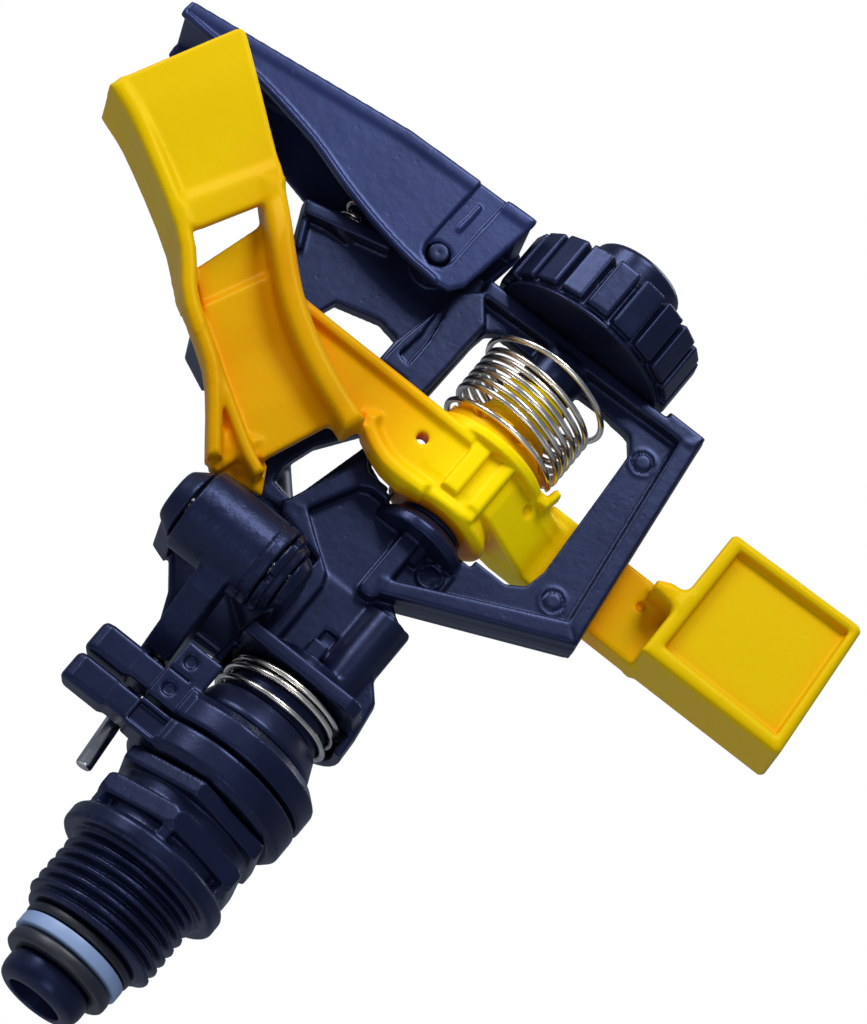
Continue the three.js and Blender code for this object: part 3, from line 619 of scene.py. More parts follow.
def spoon(clay):
    """Vane, window, trough with its two walls, and the blade behind the vane."""
    upper = [(-47.0, 88.0), (-45.2, 86.1), (-39, 79.9), (-32.7, 74.4), (-24.4, 69.6), (-15.8, 66.2)]
    lower = [(-72.4, 84.9), (-65.2, 82.0), (-51.4, 73.8), (-44.4, 66.4), (-35.6, 60.2), (-27.8, 50.6)]
    inner = [(-44.4, 66.7), (-35, 60.7), (-26.1, 55), (-21.6, 52.8)]
    vane = [(-64.2, 103.4), (-72.6, 84.9), (-65, 81.8), (-50.6, 74.2), (-45.6, 84.2), (-45.2, 88.6)]
    trough = [
        (-44, 84.6), (-38, 79.6), (-30, 73), (-18.6, 66.4), (-22.8, 55.2), (-27.5, 53), (-36.5, 61.6),
        (-47.4, 71.6),
    ]
    front = -10.4
    clay.add(slab(eased(vane, 1.6), front, -8.8, 0.5, vane_bend), 0)
    clay.add(slab(trough, -7.4, -5.4, 0.4, floor_bend), 0)
    clay.add(slab(strip(lower, 2.1), front, -5.6, 1.0), 1.0)
    clay.add(slab(strip(inner, 1.7), -10, -6.4, 0.7), 0.6)
    clay.add(slab(strip(upper, 3.4), -12.5, -5.6, 1.2, wall_rise), 1.0)
    # the lower wall reaches back under the vane, and ends on a slant before the nozzle
    under = slab(strip(lower, 2.1), front, 2.6, 0.8)
    clay.add(trimmed(under, lambda x, y, z: (y - 2.6 + 1.4 * (x + 50)) / 1.72), 0.4)
    # curved blade behind the vane that turns the jet
    blade = layer(strip([(-54, -8.0), (-60.5, -6.2), (-65.5, -2), (-68.4, 3.4)], 1.6, 12), 76, 90, 0.3)
    above_wall = [(-46, 90), (-46, 70), (-51.4, 73.8), (-65.2, 82.0), (-73, 85.0), (-74, 90)]
    clay.add(trimmed(blade, slab(above_wall, -14, 14, 0)[2]), 0.5)


def front_bar(clay):
    """The arm's bar in front of the bridge, with its rims, and the prong that kicks the trip lever."""
    back = -4.1
    bar = [
        (-34, 77.4), (4.6, 77.2), (4.6, 67), (-4, 66), (-6.4, 64.9), (-9.5, 65.4), (-14.4, 67.6),
        (-15.3, 70.2), (-18, 67.4), (-31.7, 74),
    ]
    clay.add(slab(bar, -7.5, back, 0.4), 0.9)
    clay.add(slab([(-34.4, 77.6), (-2, 77.3), (-2, 75.6), (-33, 75.9)], -8.6, back, 0.6), 1.0)
    clay.add(slab(strip([(-3, 66.4), (-9.5, 66.4), (-14.2, 68.4), (-15.4, 70.4)], 2.0), -8.6, back, 0.7), 1.2)
    prong = [(-29.4, 54.6), (-27.6, 49.6), (-26.4, 49.6), (-25.4, 53), (-24.8, 57)]
    clay.add(slab(prong, -8.4, -5.6, 0.6), 1.2)
    prong_web = [(-27.5, 52), (-26.4, 50.2), (-19.8, 51.6), (-22, 55.6), (-25, 55)]
    clay.add(slab(prong_web, -6.6, -5.4, 0.4), 0.8)


def hub(clay):
    """The hub with its ribs, the slant that carries the arm through it, and the spring's notched collar."""
    body = [
        (0, 65.9), (7.0, 65.9), (7.9, 66.4), (8.1, 67.0), (7.5, 68.2), (7.0, 69.8), (6.9, 76.8),
        (9.5, 77.2), (9.5, 78.7), (9.1, 78.9), (5.8, 79.1), (5.8, 84), (4.9, 85), (4.9, 90), (0, 90),
    ]
    clay.add(turned(body), 0.5)
    clay.add(block((-1.9, 0.75), (-8.5, -5), (68.6, 77), 0.5), 0.5)
    clay.add(block((2.7, 4.6), (-7.9, -4), (68.6, 77), 0.5), 0.5)
    # the arm crosses from the front of the bridge to its back on the slant, through the hub
    slant = [(-6, -7.4), (-6, -3), (2, 4.6), (9, 8.6), (14, 8.6), (14.4, 4), (6, -5.6), (3, -7.4)]
    clay.add(layer(slant, 69.4, 77, 0.6), 0.5)
    clay.add(layer([(8.4, 8.6), (14, 8.6), (14.4, 4), (8.8, -2.4)], 76, 78.9, 0.4), 0.4)
    clay.add(turned([(5.6, 78.6), (8.3, 78.6), (8.3, 82), (5.6, 82)]), 0.3)
    for degrees in (15, 60, 105, 150):
        c, s = math.cos(math.radians(degrees)), math.sin(math.radians(degrees))
        for sign in (-1, 1):
            inner, outer = (5.9 * sign * c, 5.9 * sign * s, 81.6), (11 * sign * c, 11 * sign * s, 81.6)
            clay.cut(rod(inner, outer, 1.35), 0.2)


def counterweight(clay):
    """The bar behind the bridge, the counterweight with its recess, and the lug under the spring."""
    bar = [(3, 78.9), (10.4, 78.9), (11, 81.2), (34, 81.2), (34, 69.4), (3, 69.4)]
    clay.add(slab(bar, 4.0, 8.6, 0.5), 0.8)
    weight = [
        (33.4, 69.6), (33.3, 91.4), (33.9, 91.9), (54.8, 92.5), (55.5, 91.9), (57.1, 70.4), (56.6, 69.8),
    ]
    clay.add(slab(weight, -3, 8.8, 0.9), 1.0)
    clay.cut(slab([(35.7, 72.2), (35.5, 90.1), (54.1, 90.7), (55.1, 72.2)], -9, -1.5, 0.6), 0.9)
    clay.add(slab([(29.4, 78.2), (34.4, 77.6), (34.4, 80.8), (31, 80.6), (29, 79.6)], -2.4, 5, 0.9), 1.4)
    lug = [(8, 78.9), (8, 77.2), (10.9, 77.4), (11.4, 80.4), (10.3, 80.8), (9.9, 79)]
    clay.add(slab(lug, -2.6, 1, 0.4), 0.5)


def swing_arm():
    clay = Clay("swing_arm")
    for shape in (spoon, front_bar, hub, counterweight):
        shape(clay)
    # the pivot's bore, a hole through the bar and two dimples
    clay.cut(upright(60, 95, 3.3), 0.2)
    clay.cut(rod((-8, -12, 72.4), (-8, -2, 72.4), 0.85), 0.3)
    clay.cut(rod((10.6, -3.5, 75.6), (8.9, -1.5, 75.6), 0.9), 0.3)
    clay.cut(rod((29.3, 2.0, 77.2), (29.3, 4.6, 77.2), 0.6), 0.4)
    return moulded("swing_arm", clay)


# ---------- the head casting ----------
def nozzle_point(distance):
    """A point on the nozzle's axis, so far in front of the barrel's end."""
    x, y, z = NOZZLE
    return (x - distance * math.cos(TILT), y, z + distance * math.sin(TILT))


def bridge_web(clay):
    """The thin web, with the big window, the two gaps behind the arm and a shallow pocket."""
    web = [
        (17, 100), (22, 100), (26.3, 63.8), (3, 53.2), (7, 50), (7, 36.4), (-8.4, 36.4), (-8.4, 50),
        (-17.2, 53.8), (-22.6, 53.5), (-35, 63), (-42, 70), (-36.2, 79.6), (-39.8, 84.8),
        (-42.8, 91.6), (-30.4, 94.6), (-27.4, 99), (16, 99),
    ]
    window = [
        (-12, 68.2), (-11.6, 90.2), (-11.2, 93), (-10, 94), (8.6, 94.5), (13.4, 94), (15, 92),
        (15.2, 89), (16.3, 70.4), (15.6, 67), (13.2, 65.4), (8, 65.4), (8, 64.2), (-8, 64.2),
        (-8, 65.4), (-11.4, 66.8),
    ]
    low_gap = [(-13.6, 69.9), (-15.3, 69.9), (-19.2, 64), (-20.7, 59), (-20.4, 56.2), (-16.9, 55.7)]
    high_gap = [(-20.4, 73), (-20.3, 84), (-23.6, 84.6), (-30, 82.7), (-30.9, 80), (-27.5, 73)]
    clay.add(slab(web, -WEB, WEB, 0.3), 0)
    clay.cut(slab(window, -20, 20, 0), 0.2)
    clay.cut(slab(low_gap, -3, 9, 0.2), 0.3)
    clay.cut(slab(high_gap, -9, 9, 0), 0.3)
    clay.cut(block((0.9, 7.3), (-4, -WEB + 0.35), (50, 61.6), 0.1), 0.1)


def bridge_rims(clay):
    """The rims that stand out on both sides of the web, and the rings left by the ejector pins."""

    def rim(points, blend=0.35, edge=0.45, depth=RIM):
        clay.add(slab(points, -depth, depth, edge), blend)

    # top, right post and diagonal
    rim([(15.8, 100), (22, 100), (21.6, 97.3), (-14.9, 96.3), (-15.6, 99), (15.8, 99)])
    rim([(21.9, 99.9), (26.3, 63.9), (23.4, 66), (19.3, 97.2)])
    rim([(26.1, 63.9), (0.5, 51.9), (-0.5, 54.2), (23.5, 66.3)])
    # left post, and the slanted rim under it
    rim([
        (-19.7, 79), (-19.5, 83.5), (-17.8, 94.4), (-14.9, 97), (-11.7, 93), (-12.2, 79),
        (-12.4, 66.8), (-13.2, 70.2), (-15.4, 70.3), (-15.4, 79),
    ])
    rim([
        (-12.5, 66.9), (-17.3, 54.2), (-14.6, 54.4), (-10.6, 62.6), (-9.2, 63.4), (-6.4, 63.4),
        (-6.4, 65.2), (-11, 65.2),
    ])
    # the neck's left edge, which bends out to the slanted rim
    rim([
        (-8.6, 36.4), (-5.7, 36.4), (-5.7, 48), (-6.5, 50), (-10.5, 52.8), (-14.2, 55.6),
        (-17.6, 54.4), (-16.4, 52.6), (-8.6, 50.6),
    ], blend=0.2)
    # upright rib under the boss
    rim([(-2, 63), (0.9, 63), (0.9, 51.5), (0.2, 50.7), (-1.4, 50.7), (-2, 51.5)], edge=0.35)
    clay.cut(block((-7.4, -6.7), (-4, -WEB), (64.2, 66), 0.1), 0.1)
    # the web's free corner under the flap
    rim([(-42.6, 91.5), (-41.4, 89.4), (-28.8, 92.8), (-29, 94.9)])
    rim([(-42.6, 91.5), (-39.4, 84.8), (-38.4, 85.4), (-40.9, 90.6)], depth=2.4)
    for x, z in ((17.2, 92.0), (19.8, 67.6), (4.6, 59.4)):
        clay.add(crosswise(x, z, -WEB - 0.2, -WEB + 0.4, 2.0, edge=0.1), 0)
        clay.cut(crosswise(x, z, -WEB - 1, -WEB + 0.15, 1.6, edge=0.05), 0)
        clay.add(crosswise(x, z, -WEB - 0.15, -WEB + 0.5, 1.35, edge=0.1), 0)


def bosses(clay):
    """The boss under the arm, and the boss and stud above it for the knob."""
    low_boss = [(0, 58.9), (2.6, 58.9), (2.9, 61.6), (6.9, 61.6), (6.9, 63.2), (5.5, 64.6), (0, 64.6)]
    clay.add(turned(low_boss), 0.25)
    clay.add(turned([(0, 91.4), (3.6, 91.4), (4.2, 92.2), (4.2, 97), (0, 97)]), 0.5)
    clay.add(upright(97.5, 107.2, 3.1), 0)


def neck(clay):
    """A column with a flat front and a round tower on its right, the base plate and its skirt."""
    column = turned([(0, 36), (7.5, 36), (7.5, 50.4), (0, 50.4)])
    clay.add(trimmed(column, lambda x, y, z: -1.3 - y), 0.3)
    clay.add(rod((4.4, -1.2, 36), (4.4, -1.2, 50.4), 3.1, edge=0.25), 1.6)
    clay.add(turned([(0, 36), (6.1, 36), (6.1, 38.4), (0, 38.4)]), 0.5)
    clay.add(block((-2, 0.6), (-4.6, -1), (36, 41.2), 0.25), 0.15)
    clay.cut(block((-1.7, 0.5), (-3, -0.7), (41.6, 44), 0.15), 0.15)
    plate = [
        (-9.6, -8.4), (-9.2, -8.8), (8, -8.8), (9.6, -7.6), (10.4, 0), (9.6, 8), (8, 9), (-8.6, 9),
        (-9.6, 8),
    ]
    clay.add(layer(plate, 34.1, 36.4, 0.4), 0.8)
    skirt = [
        (9.9, 30.6), (11.2, 30.6), (11, 34.4), (10.2, 39.8), (7, 43.5), (6, 43.5), (6, 36), (9.9, 33.9),
    ]
    clay.add(trimmed(turned(skirt), lambda x, y, z: -2.4 - y), 0.4)


def trip_bracket(clay):
    """The plate behind the trip lever, with a bearing at each end of the axle."""
    y, z = TRIP_AXLE
    plate = [
        (-28.4, 47.4), (-28.4, 44.4), (-22.4, 36.6), (-20.6, 32.4), (-9.8, 33.4), (-7, 35), (-7, 50.4),
        (-20, 50.4),
    ]
    clay.add(slab(plate, 4.6, 6.8, 0.4), 0.6)
    clay.cut(block((-20, -9.6), (3, 4.9), (34.2, 34.5), 0.05), 0.1)
    clay.add(on_axle(-28.4, -25.5, 3.6, 5.6, edge=0.5), 0)
    clay.add(slab([(-28.4, 40.6), (-28.4, 46.4), (-25.5, 46.4), (-25.5, 39.6)], y, 6.8, 0.5), 0.6)
    clay.add(on_axle(-8.8, -7.2, 4.4, 3.5, edge=0.25), 0)
    clay.add(block((-8.4, -7.2), (y, -4), (z - 3.2, z + 3.2), 0.3), 0.3)


def barrel(clay):
    """The riser barrel, the nozzle block, the flap's pivot boss and the stud for its spring."""
    route = curve_through(BARREL, 14)
    clay.add(pipe(route[:4], 4.2), 0.3)
    clay.add(pipe(route[3:], 5.2), 0.6)
    clay.add(rod(nozzle_point(-6), nozzle_point(0.4), 5.2, edge=0.4), 0.4)
    nose = [(-43, 66.8), (-41.6, 64.0), (-36.8, 61.8), (-32, 66), (-37, 75.4), (-41, 75.2)]
    clay.add(slab(nose, -4.5, 4.5, 0.9), 0.8)
    x, z = FLAP_PIVOT
    clay.add(crosswise(x, z, -6.3, 6.3, 3, edge=0.3), 0.3)
    clay.add(rod((FLAP_STUD, 0, 90.4), (FLAP_STUD, 0, 93.4), 2.9, edge=0.2), 0.3)


def head_openings(clay):
    """The slot in the left post, the waterway and the holes for the pins."""
    slot = [
        (-18.9, 92.4), (-18.2, 90), (-17.9, 86), (-18.4, 81.6), (-16.4, 81.2), (-16.4, 86), (-17, 90),
        (-17.8, 92.8),
    ]
    clay.cut(slab(slot, -6, -2.4, 0.2), 0.15)
    # the stem's socket, and the way from it up the barrel to the nozzle
    route = curve_through(BARREL, 14)
    clay.cut(upright(30, 38.3, 5.7, edge=0.05), 0.1)
    clay.cut(pipe([(0, 0.2, 37), (0, 0.6, 38), (0.4, 2.6, 39.8)], 2.9), 0.1)
    clay.cut(pipe(route[:4], 2.9), 0.1)
    clay.cut(pipe(route[3:], BARREL_BORE), 0.1)
    clay.cut(rod(nozzle_point(-5), nozzle_point(3), 3.6), 0.1)
    clay.cut(rod(nozzle_point(0.4), nozzle_point(9), 11, edge=0.05), 0.1)
    # the arm's pivot pin, and the knob's screw
    clay.cut(upright(59.7, 66, PIN_BORE), 0.1)
    clay.cut(upright(90, 98, PIN_BORE), 0.1)
    clay.cut(upright(100.6, 108, 1.6), 0.1)
    # the flap's pin, the trip lever's axle, and the seat of the flap's spring
    x, z = FLAP_PIVOT
    clay.cut(crosswise(x, z, -9, 9, AXLE_BORE), 0.1)
    y, z = TRIP_AXLE
    clay.cut(on_axle(-27.6, -7.5, AXLE_BORE), 0.1)
    clay.cut(rod((FLAP_STUD, 0, 92.2), (FLAP_STUD, 0, 95), 2.1), 0.1)


def head_casting():
    clay = Clay("head_casting")
    for shape in (bridge_web, bridge_rims, bosses, neck, trip_bracket, barrel, head_openings):
        shape(clay)
    return moulded("head_casting", clay)


# ---------- collars, trip lever, flap, knob ----------
def trip_collar(node, z0, z1, upper):
    """A friction ring with its grip and finger lever. The upper one also has an ear beside the trip pin."""
    clay = Clay(node, STEP * 0.8)
    if upper:
        outline = [(12.7, z0), (13, z0 + 0.3), (13, z1 - 1.5), (11.4, z1)]
    else:
        outline = [(12, z0), (13, z0 + 1.1), (13, z1 - 0.3), (12.7, z1)]
    clay.add(turned([(COLLAR_BORE, z0), *outline, (COLLAR_BORE, z1)]), 0)
    top = z1 - 0.1
    # grip behind the ring, stepping down to the finger lever
    clay.add(layer([(-7, -9.2), (-14.2, -9.2), (-14.2, -4.2), (-9.5, -3.2)], z0, top, 0.35), 0.5)
    clay.add(layer([(-14, -8.7), (-18, -8.7), (-18, -4.2), (-14, -4.2)], z0 + 0.5, top - 0.4, 0.35), 0.3)
    finger = [
        (-17.6, -8.6), (-23.4, -8.6), (-24.6, -7.9), (-24.9, -6.8), (-24.5, -4.8), (-23.8, -4.2),
        (-17.6, -4.2),
    ]
    clay.add(layer(finger, z0, top, 0.8), 0.3)
    if upper:
        clay.add(block((-14.2, -10.7), (-9.2, -4.4), (z1 - 0.4, 28.2), 0.35), 0)
        clay.add(block((-11, -8.4), (-9.2, -7.6), (z1 - 0.4, 28.2), 0.3), 0.2)
        clay.cut(block((-14.6, -10.6), (-9.6, -8.8), (z1 - 0.2, z1 + 0.1), 0.05), 0.1)
        for z in (20.9, 25.8):
            clay.cut(rod((-12.2, -10, z), (-12.2, -8.7, z), 0.95, edge=0.1), 0.2)
        clay.add(block((-9.6, -8.4), (-9.9, -8.5), (z0 + 0.2, z1 - 0.6), 0.3), 0.3)
    else:
        clay.cut(block((-14, -9.4), (-11, -8.3), (z0 + 0.9, z1 - 0.9), 0.2), 0.3)
        clay.add(block((-9.4, -8.2), (-9.9, -8.6), (z0 + 0.6, z1 - 0.2), 0.3), 0.3)
    clay.cut(upright(z0 - 1, 30, COLLAR_BORE, edge=0.05), 0)
    return moulded(node, clay)


def trip_lever():
    """A drum on the axle, and an arm that hangs from it to the trip pin."""
    clay = Clay("trip_lever", STEP * 0.8)
    y, z = TRIP_AXLE
    clay.add(on_axle(-25.2, -11.6, DRUM_RADIUS, edge=0.5), 0)
    # a fine groove round the drum's end
    groove = on_axle(-13.55, -13.25, 7)
    clay.cut(trimmed(groove, lambda a, b, c: 6.1 - np.hypot(b - y, c - z)), 0.1)
    arm = [(-14, 38.6), (-12.6, 33.4), (-4.2, 25.4), (0.7, 25.4), (0.7, 31), (-6, 39.6)]
    clay.add(side(arm, -19.4, -15, 0.4), 0.7)
    clay.add(block((-19.4, -17.6), (-3.4, 0.7), (19.6, 26), 0.3), 0.3)
    clay.cut(on_axle(-28, -10, AXLE_BORE), 0.1)
    clay.cut(on_axle(-23.8, -10, 4.4, edge=0.1), 0.1)
    clay.cut(rod((-15, -1.5, 7.2), (-17.35, -1.5, 31.4), 1.5), 0.1)
    return moulded("trip_lever", clay, TEXTURED_BLACK)


def trip_end_cap():
    """The stepped cap on the drum's end, with six notches."""
    clay = Clay("trip_end_cap", STEP * 0.6)
    y, z = TRIP_AXLE
    clay.add(on_axle(-11.3, -10.2, DRUM_RADIUS, 5.9, edge=0.2), 0)
    clay.add(on_axle(-10.6, -9.1, 5.3, 4.9, edge=0.2), 0.1)
    for i in range(6):
        a = math.radians(90 + 60 * i)
        c, s = math.cos(a), math.sin(a)
        notch = (y + 6.1 * c, z + 6.1 * s)
        clay.cut(rod((-11.6, *notch), (-9.7, *notch), 0.7, edge=0.1), 0.15)
    clay.cut(on_axle(-13, -7, AXLE_BORE), 0.1)
    return moulded("trip_end_cap", clay)


def deflector_flap():
    """A channel that opens downward: a roof between two side walls, on a pivot over the bridge."""
    clay = Clay("deflector_flap")
    near, wall = 7.7, 1.3
    x, z = FLAP_PIVOT
    top = [(-15.5, 108.6), (-24.6, 108.1), (-37, 107.6), (-50, 105.8), (-72.3, 102.6)]
    ceiling = [(-72.4, 101.1), (-50, 104.2), (-37, 106), (-24.6, 106.5), (-16.2, 107)]

    def side_wall(drop):
        return [(-15.3, 107.8)] + top + [
            (-72.6, 100.2 - drop * 0.2), (-58, 99.2 - drop * 0.7), (-47, 97.2 - drop),
            (-40, 94.9 - drop * 0.6), (-33.2, 93.1 - drop * 0.5), (-26.5, 91.9), (-20.7, 91.6),
            (-18.6, 92), (-17.2, 94)]

    clay.add(slab(side_wall(0), -near, -near + wall, 0.35), 0)
    clay.add(slab(side_wall(1.6), near - wall, near, 0.35), 0)
    clay.add(slab(top + ceiling, -near, near, 0.3), 0.8)
    # the tongue that meets the jet, and the pivot's bosses
    clay.add(slab([(-43.6, 106), (-50.8, 105), (-50.2, 101), (-46.2, 100.4)], -3, 3, 0.4), 0.6)
    for sign in (-1, 1):
        clay.add(crosswise(x, z, sign * 6.9, sign * near, 3.2), 0)
    # the pivot's channel in the near wall, and the short rib in it
    channel = [
        (-25.3, 95.6), (-24.7, 94.2), (-23, 93.4), (-21.3, 94.2), (-20.7, 95.6), (-20.4, 110), (-24.9, 110),
    ]
    clay.cut(slab(channel, -near - 2, -near + 0.75, 0.1), 0.2)
    rib = [(-23.3, 100.4), (-22.7, 100.2), (-22.6, 105.2), (-23.1, 105.4)]
    clay.add(slab(rib, -near + 0.3, -near + 1.1, 0.2), 0.15)
    # a fine bead along the near wall's lower edge
    edge = [(-72, 100.6), (-58, 99.6), (-47, 97.6), (-40, 95.4), (-33.2, 93.6), (-26.5, 92.4), (-20.7, 92.0)]
    clay.add(slab(strip(edge, 0.7), -near - 0.35, -near + 0.6, 0.2), 0.15)
    clay.cut(crosswise(x, z, -9, 9, AXLE_BORE), 0.1)
    return moulded("deflector_flap", clay, BLACK_PAINTED_LIT)


def range_knob():
    """A ribbed disc with a short hollow post."""
    clay = Clay("range_knob")
    body = [
        (0, 99.4), (14.1, 99.4), (13.6, 100.6), (13.3, 107.4), (12.4, 108.2), (7.3, 108.2),
        (7.3, 114.1), (6.6, 114.8), (0, 114.8),
    ]
    clay.add(turned(body), 0)
    pitch = 2 * math.pi / KNOB_TEETH

    def ribs(x, y, z):
        angle = np.arctan2(y, x)
        folded = (angle - KNOB_GROOVE) % pitch - pitch / 2
        radius = np.hypot(x, y)
        across = np.abs(radius * np.sin(folded)) - 1.85
        out = np.abs(radius * np.cos(folded) - 13.4) - 1.5
        return prism(np.maximum(across, out), np.abs(z - 104.7) - 4.1, 0.2)

    clay.add(((-15.2, -15.2, 100), (15.2, 15.2, 109), ribs), 0.1)
    clay.cut(upright(95, 107.6, 3.5), 0.1)
    clay.cut(upright(95, 120, 1.7), 0.1)
    clay.cut(upright(110.6, 120, 4.4), 0.2)
    return moulded("range_knob", clay)


# ---------- turned pieces, pins and springs ----------
def inlet_nipple():
    """Thread, flange, two hexagons and bearing barrel."""
    clay = Clay("inlet_nipple", STEP * 0.85)

    def thread(x, y, z):
        phase = ((z + 11.2) / THREAD_PITCH - np.arctan2(y, x) / (2 * math.pi)) % 1.0
        height = np.clip(1.55 - np.abs(phase - 0.5) * 4.0, 0, 1)
        fade = smooth_step(z, -11.4, -10.2) * (1 - smooth_step(z, -1.0, -0.5))
        radius = THREAD_ROOT + (THREAD_CREST - THREAD_ROOT) * height * fade
        return np.maximum((np.hypot(x, y) - radius) * 0.7, np.abs(z + 5.6) - 5.6)

    clay.add(((-11, -11, -11.2), (11, 11, 0), thread), 0)
    body = [
        (0, -3), (THREAD_ROOT, -0.9), (10.5, -0.5), (10.5, 0), (12.1, 0), (12.6, 0.5), (12.6, 2.5),
        (12.3, 2.95), (11.7, 3.4), (10.4, 3.6), (10.4, 12.6), (10.1, 12.9), (8.6, 13), (8.6, 23.9),
        (7, 23.9), (7, 32.4), (6.8, 32.6), (0, 32.6),
    ]
    clay.add(turned(body), 0.15)
    corner = HEXAGON_FLATS / math.sqrt(3)
    angles = [math.radians(degrees) for degrees in range(30, 390, 60)]
    hexagon = [(corner * math.cos(a), corner * math.sin(a)) for a in angles]
    for z0, z1 in ((5.0, 8.2), (10.4, 12.9)):
        middle = (z0 + z1) / 2

        def cone(x, y, z, middle=middle):
            return np.hypot(x, y) + 0.9 * np.abs(z - middle) - corner - 0.75

        # the corners of a nut are turned back to a cone
        clay.add(trimmed(layer(hexagon, z0, z1, 0.3), cone), 0.35)
    # six short ribs on the flange
    for i in range(6):
        a = math.radians(60 * i)
        c, s = math.cos(a), math.sin(a)

        def rib(x, y, z, c=c, s=s):
            across, out = np.abs(x * c + y * s) - 0.8, np.abs(-x * s + y * c + 11.2) - 1.0
            return prism(np.maximum(across, out), np.abs(z - 4.2) - 1.0, 0.2)

        clay.add(((-13, -13, 3.2), (13, 13, 5.2), rib), 0.3)
    clay.cut(upright(-14, 40, NIPPLE_BORE, edge=0.01), 0.3)
    return moulded("inlet_nipple", clay)


def turned_piece(node, profile, radius=0.25, segments=112):
    vertices, faces = lathe(eased(profile, radius), segments)
    return stand_in(node, vertices, faces, smooth=0)


def ring(node, inner, outer, z0, z1, radius=0.2):
    return turned_piece(node, [(inner, z0), (outer, z0), (outer, z1), (inner, z1)], radius)


def turned_along(node, start, end, profile, segments=48):
    """A lathe profile of (radius, distance) stood on the line from start to end."""
    vertices, faces = lathe(eased(profile, 0.15), segments)
    axis = Vector(end) - Vector(start)
    place = Matrix.Translation(Vector(start)) @ axis.to_track_quat("Z", "Y").to_matrix().to_4x4()
    vertices = [tuple(place @ Vector(v)) for v in vertices]
    return stand_in(node, vertices, faces, smooth=0)


def pin(node, start, end, radius):
    """A straight pin with eased ends."""
    length = (Vector(end) - Vector(start)).length
    outline = [
        (0.02, 0), (radius - 0.2, 0), (radius, 0.3), (radius, length - 0.3), (radius - 0.2, length),
        (0.02, length),
    ]
    return turned_along(node, start, end, outline)


def coil(turns, radius_at, height_at, start_angle, centre=(0, 0), per_turn=40):
    count = int(turns * per_turn)
    points = []
    for i in range(count + 1):
        t = i / count
        angle = start_angle + t * turns * 2 * math.pi
        points.append((centre[0] + radius_at(t) * math.cos(angle), centre[1] + radius_at(t) * math.sin(angle),
                       height_at(t)))
    return points


def spring(node, points, radius=WIRE):
    vertices, faces = tube(points, radius)
    return stand_in(node, vertices, faces, smooth=0)


def arm_spring():
    """The arm's spring, clockwise from the right: a loose foot, a leaning pack and a wider top loop."""
    turn = np.arange(0, 7.751, 1 / 64)
    x, y = np.cos(-2 * math.pi * turn), np.sin(-2 * math.pi * turn)
    pack = 82.97 + 1.34 * (turn - 1) - 0.64 * x
    foot = np.interp(turn, [0, 0.25, 0.5, 0.75, 1], [80.4, 80.8, 81.5, 82.1, 82.33])
    loop = np.interp(turn, [6.75, 7, 7.25, 7.5, 7.75], [90.68, 91.6, 93.0, 92.2, 91.2])
    z = np.where(turn < 1, foot, np.where(turn < 6.75, pack, loop))
    # the joints between the three stretches are smoothed
    z[4:-4] = np.mean([z[k : len(z) - 8 + k] for k in range(9)], axis=0)
    radius = np.interp(turn, [6.75, 7], [9.2, 9.9])
    return np.column_stack([radius * x, radius * y, z])


def springs():
    spring("arm_spring", arm_spring())
    turns = 2.6

    def bearing_height(t):
        return np.interp(turns * t, [0, 0.37, 1.37, 2.37, turns], [29.1, 29.2, 31.7, 32.8, 33.1])

    spring("bearing_spring", coil(turns, lambda t: 8.75, bearing_height, 2.4, per_turn=48))
    spring("deflector_spring", coil(5, lambda t: 1.5, lambda t: 92.9 + 10.2 * t, 0, (FLAP_STUD, 0), 28), 0.3)
    y, z = TRIP_AXLE
    loops = coil(5, lambda t: 3.1, lambda t: 11.2 * t, 0, per_turn=32)
    spring("trip_spring", [(-12.1 - along, y + across, z + up) for up, across, along in loops])


def round_parts():
    stem = [
        (4.1, -21.8), (5, -21.8), (6.0, -21.2), (6.35, -20), (6.35, -17.8), (5.4, -17.8), (5.4, 38),
        (4.1, 38),
    ]
    turned_piece("bearing_stem", stem, 0.45)
    turned_piece("collar_retainer", [(7.3, 24.2), (9.9, 24.2), (9.9, 25), (8.5, 28.2), (7.3, 28.2)])
    ring("spring_sleeve", 7.3, 7.9, 28.5, 33.6, 0.1)
    ring("upper_seal_washer", 5.7, 8.5, -12.8, -11.5, 0.4)
    ring("friction_washer", 5.7, 8.4, -15.1, -13.1, 0.25)
    ring("lower_seal_washer", 5.7, 8.1, -17.5, -15.4, 0.7)
    ring("lower_thrust_washer", 2.3, 5, 64.9, 65.6, 0.15)
    ring("upper_thrust_washer", 2.3, 4.6, 90.3, 91.1, 0.15)
    ring("arm_bush", 2.3, 3, 66.2, 89.8, 0.15)
    turned_piece("arm_pivot_pin", [(0.02, 60), (2, 60), (2, 97.6), (0.02, 97.6)], 0.3, 48)
    screw = [(0.02, 101), (1.3, 101), (1.3, 110.9), (3.6, 110.9), (3.6, 112.4), (2.6, 113.2), (0.02, 113.2)]
    turned_piece("knob_screw", screw, 0.2, 48)
    y, z = TRIP_AXLE
    pin("trip_axle", (-27.3, y, z), (-7.7, y, z), 1.5)
    pin("trip_pin", (-15, -1.5, 7.2), (-17.3, -1.5, 31), 1.2)
    x, z = FLAP_PIVOT
    pin("deflector_pin", (x, -7.4, z), (x, 7.4, z), 1.5)
    insert = [(1.6, 0), (3.3, 0), (3.3, 5.3), (4.6, 5.3), (4.6, 6.5), (2.1, 6.5), (1.6, 6.0)]
    turned_along("nozzle_insert", nozzle_point(-4.6), nozzle_point(1.9), insert)


for build in (swing_arm, head_casting, trip_lever, trip_end_cap, deflector_flap, range_knob, inlet_nipple):
    build()
trip_collar("lower_trip_collar", *LOWER_COLLAR, upper=False)
trip_collar("upper_trip_collar", *UPPER_COLLAR, upper=True)
springs()
round_parts()


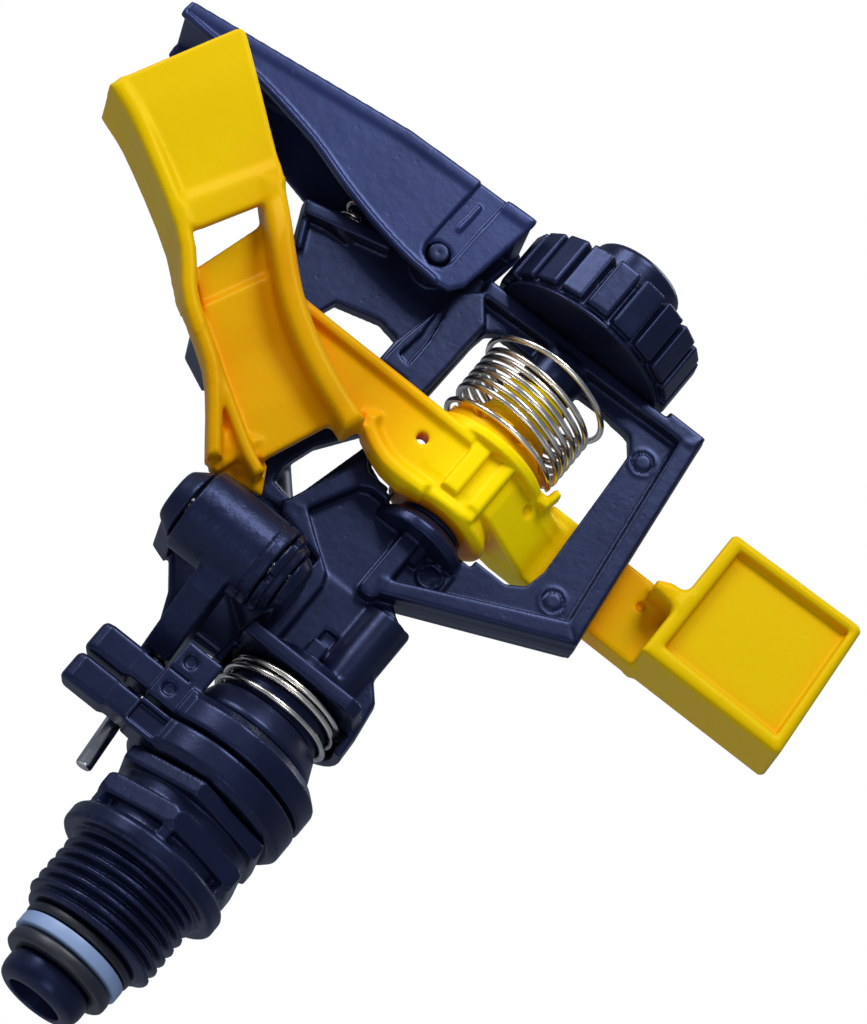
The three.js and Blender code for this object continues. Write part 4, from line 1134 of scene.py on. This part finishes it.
# ---------- camera, light and floor ----------
FOCUS = (-0.97, 0, 67.6)  # the point that the camera looks at, in millimetres
EYE_DISTANCE = 786.6  # from that point to the camera
RISE, TURN, LEAN = 20.5, 5, 40  # the camera's slope, its turn round the object and its roll, in degrees
LENS = 200.4
SKY, SKY_STRENGTH = (0.70, 0.80, 1, 1), 0.26  # the cooler light from all round
# each lamp's direction (toward the camera, to the right and up), distance and size in metres, and power
LAMPS = {
    "key": ((0.55, -0.15, 1.05), 0.62, 0.24, 2.45),
    "left": ((0.35, -1.0, 0.8), 0.7, 0.30, 2.6),
    "front": ((1.0, 0.1, -0.15), 0.9, 0.40, 0.9),
    "rim": ((-0.7, 0.4, 0.9), 0.8, 0.5, 2.1),
}


def camera():
    """A long lens from below, in front of the bridge."""
    rise, turn, lean = math.radians(RISE), math.radians(TURN), math.radians(LEAN)
    look = Vector((-math.sin(turn) * math.cos(rise), math.cos(turn) * math.cos(rise), math.sin(rise)))
    right = Vector((math.cos(turn), math.sin(turn), 0))
    up = right.cross(look)
    data = bpy.data.cameras.new("camera")
    data.lens, data.sensor_width, data.clip_start, data.clip_end = LENS, 36, 0.05, 20
    eye = placed("camera", data)
    x = math.cos(lean) * right + math.sin(lean) * up
    y = -math.sin(lean) * right + math.cos(lean) * up
    basis = Matrix((x, y, -look)).transposed().to_4x4()
    target = Vector(FOCUS) * 0.001
    eye.matrix_world = Matrix.Translation(target - look * EYE_DISTANCE * 0.001) @ basis
    bpy.context.scene.camera = eye
    return look, right, up, target


def lamp(name, target, direction, distance, size, power):
    """A round area lamp that faces the target."""
    data = bpy.data.lights.new(name, "AREA")
    data.shape, data.size, data.energy = "DISK", size, power
    light = placed(name, data)
    place = target + Vector(direction).normalized() * distance
    facing = (place - target).to_track_quat("Z", "Y").to_matrix().to_4x4()
    light.matrix_world = Matrix.Translation(place) @ facing


def world():
    """White behind the object, and a dimmer, cooler light from all round."""
    data = bpy.data.worlds.new("world")
    bpy.context.scene.world = data
    data.use_nodes = True
    nodes, links = data.node_tree.nodes, data.node_tree.links
    nodes.clear()
    seen, around = nodes.new("ShaderNodeBackground"), nodes.new("ShaderNodeBackground")
    seen.inputs["Color"].default_value, seen.inputs["Strength"].default_value = (1, 1, 1, 1), 1.0
    around.inputs["Color"].default_value, around.inputs["Strength"].default_value = SKY, SKY_STRENGTH
    path, mixer = nodes.new("ShaderNodeLightPath"), nodes.new("ShaderNodeMixShader")
    out = nodes.new("ShaderNodeOutputWorld")
    links.new(path.outputs["Is Camera Ray"], mixer.inputs["Fac"])
    links.new(around.outputs["Background"], mixer.inputs[1])
    links.new(seen.outputs["Background"], mixer.inputs[2])
    links.new(mixer.outputs["Shader"], out.inputs["Surface"])


def floor():
    """A plain pale floor well below the object."""
    size, z = 3.0, -0.5
    mesh = bpy.data.meshes.new("floor")
    corners = [(-size, -size, z), (size, -size, z), (size, size, z), (-size, size, z)]
    mesh.from_pydata(corners, [], [(0, 1, 2, 3)])
    stage = placed("floor", mesh)
    paint = Paint("floor", 0.7)
    paint.colour(paint.ramp(paint.noise(4, 2), [(0.3, (0.80, 0.80, 0.81)), (0.7, (0.84, 0.84, 0.85))]))
    paint.bump((paint.noise(30, 2), 0.3, 0.1))
    mesh.materials.append(paint.material)


look, right, up, target = camera()
world()
floor()
for lamp_name, ((toward, aside, above), distance, size, power) in LAMPS.items():
    lamp(lamp_name, target, above * up + aside * right - toward * look, distance, size, power)
bpy.context.scene.view_settings.view_transform = "Standard"
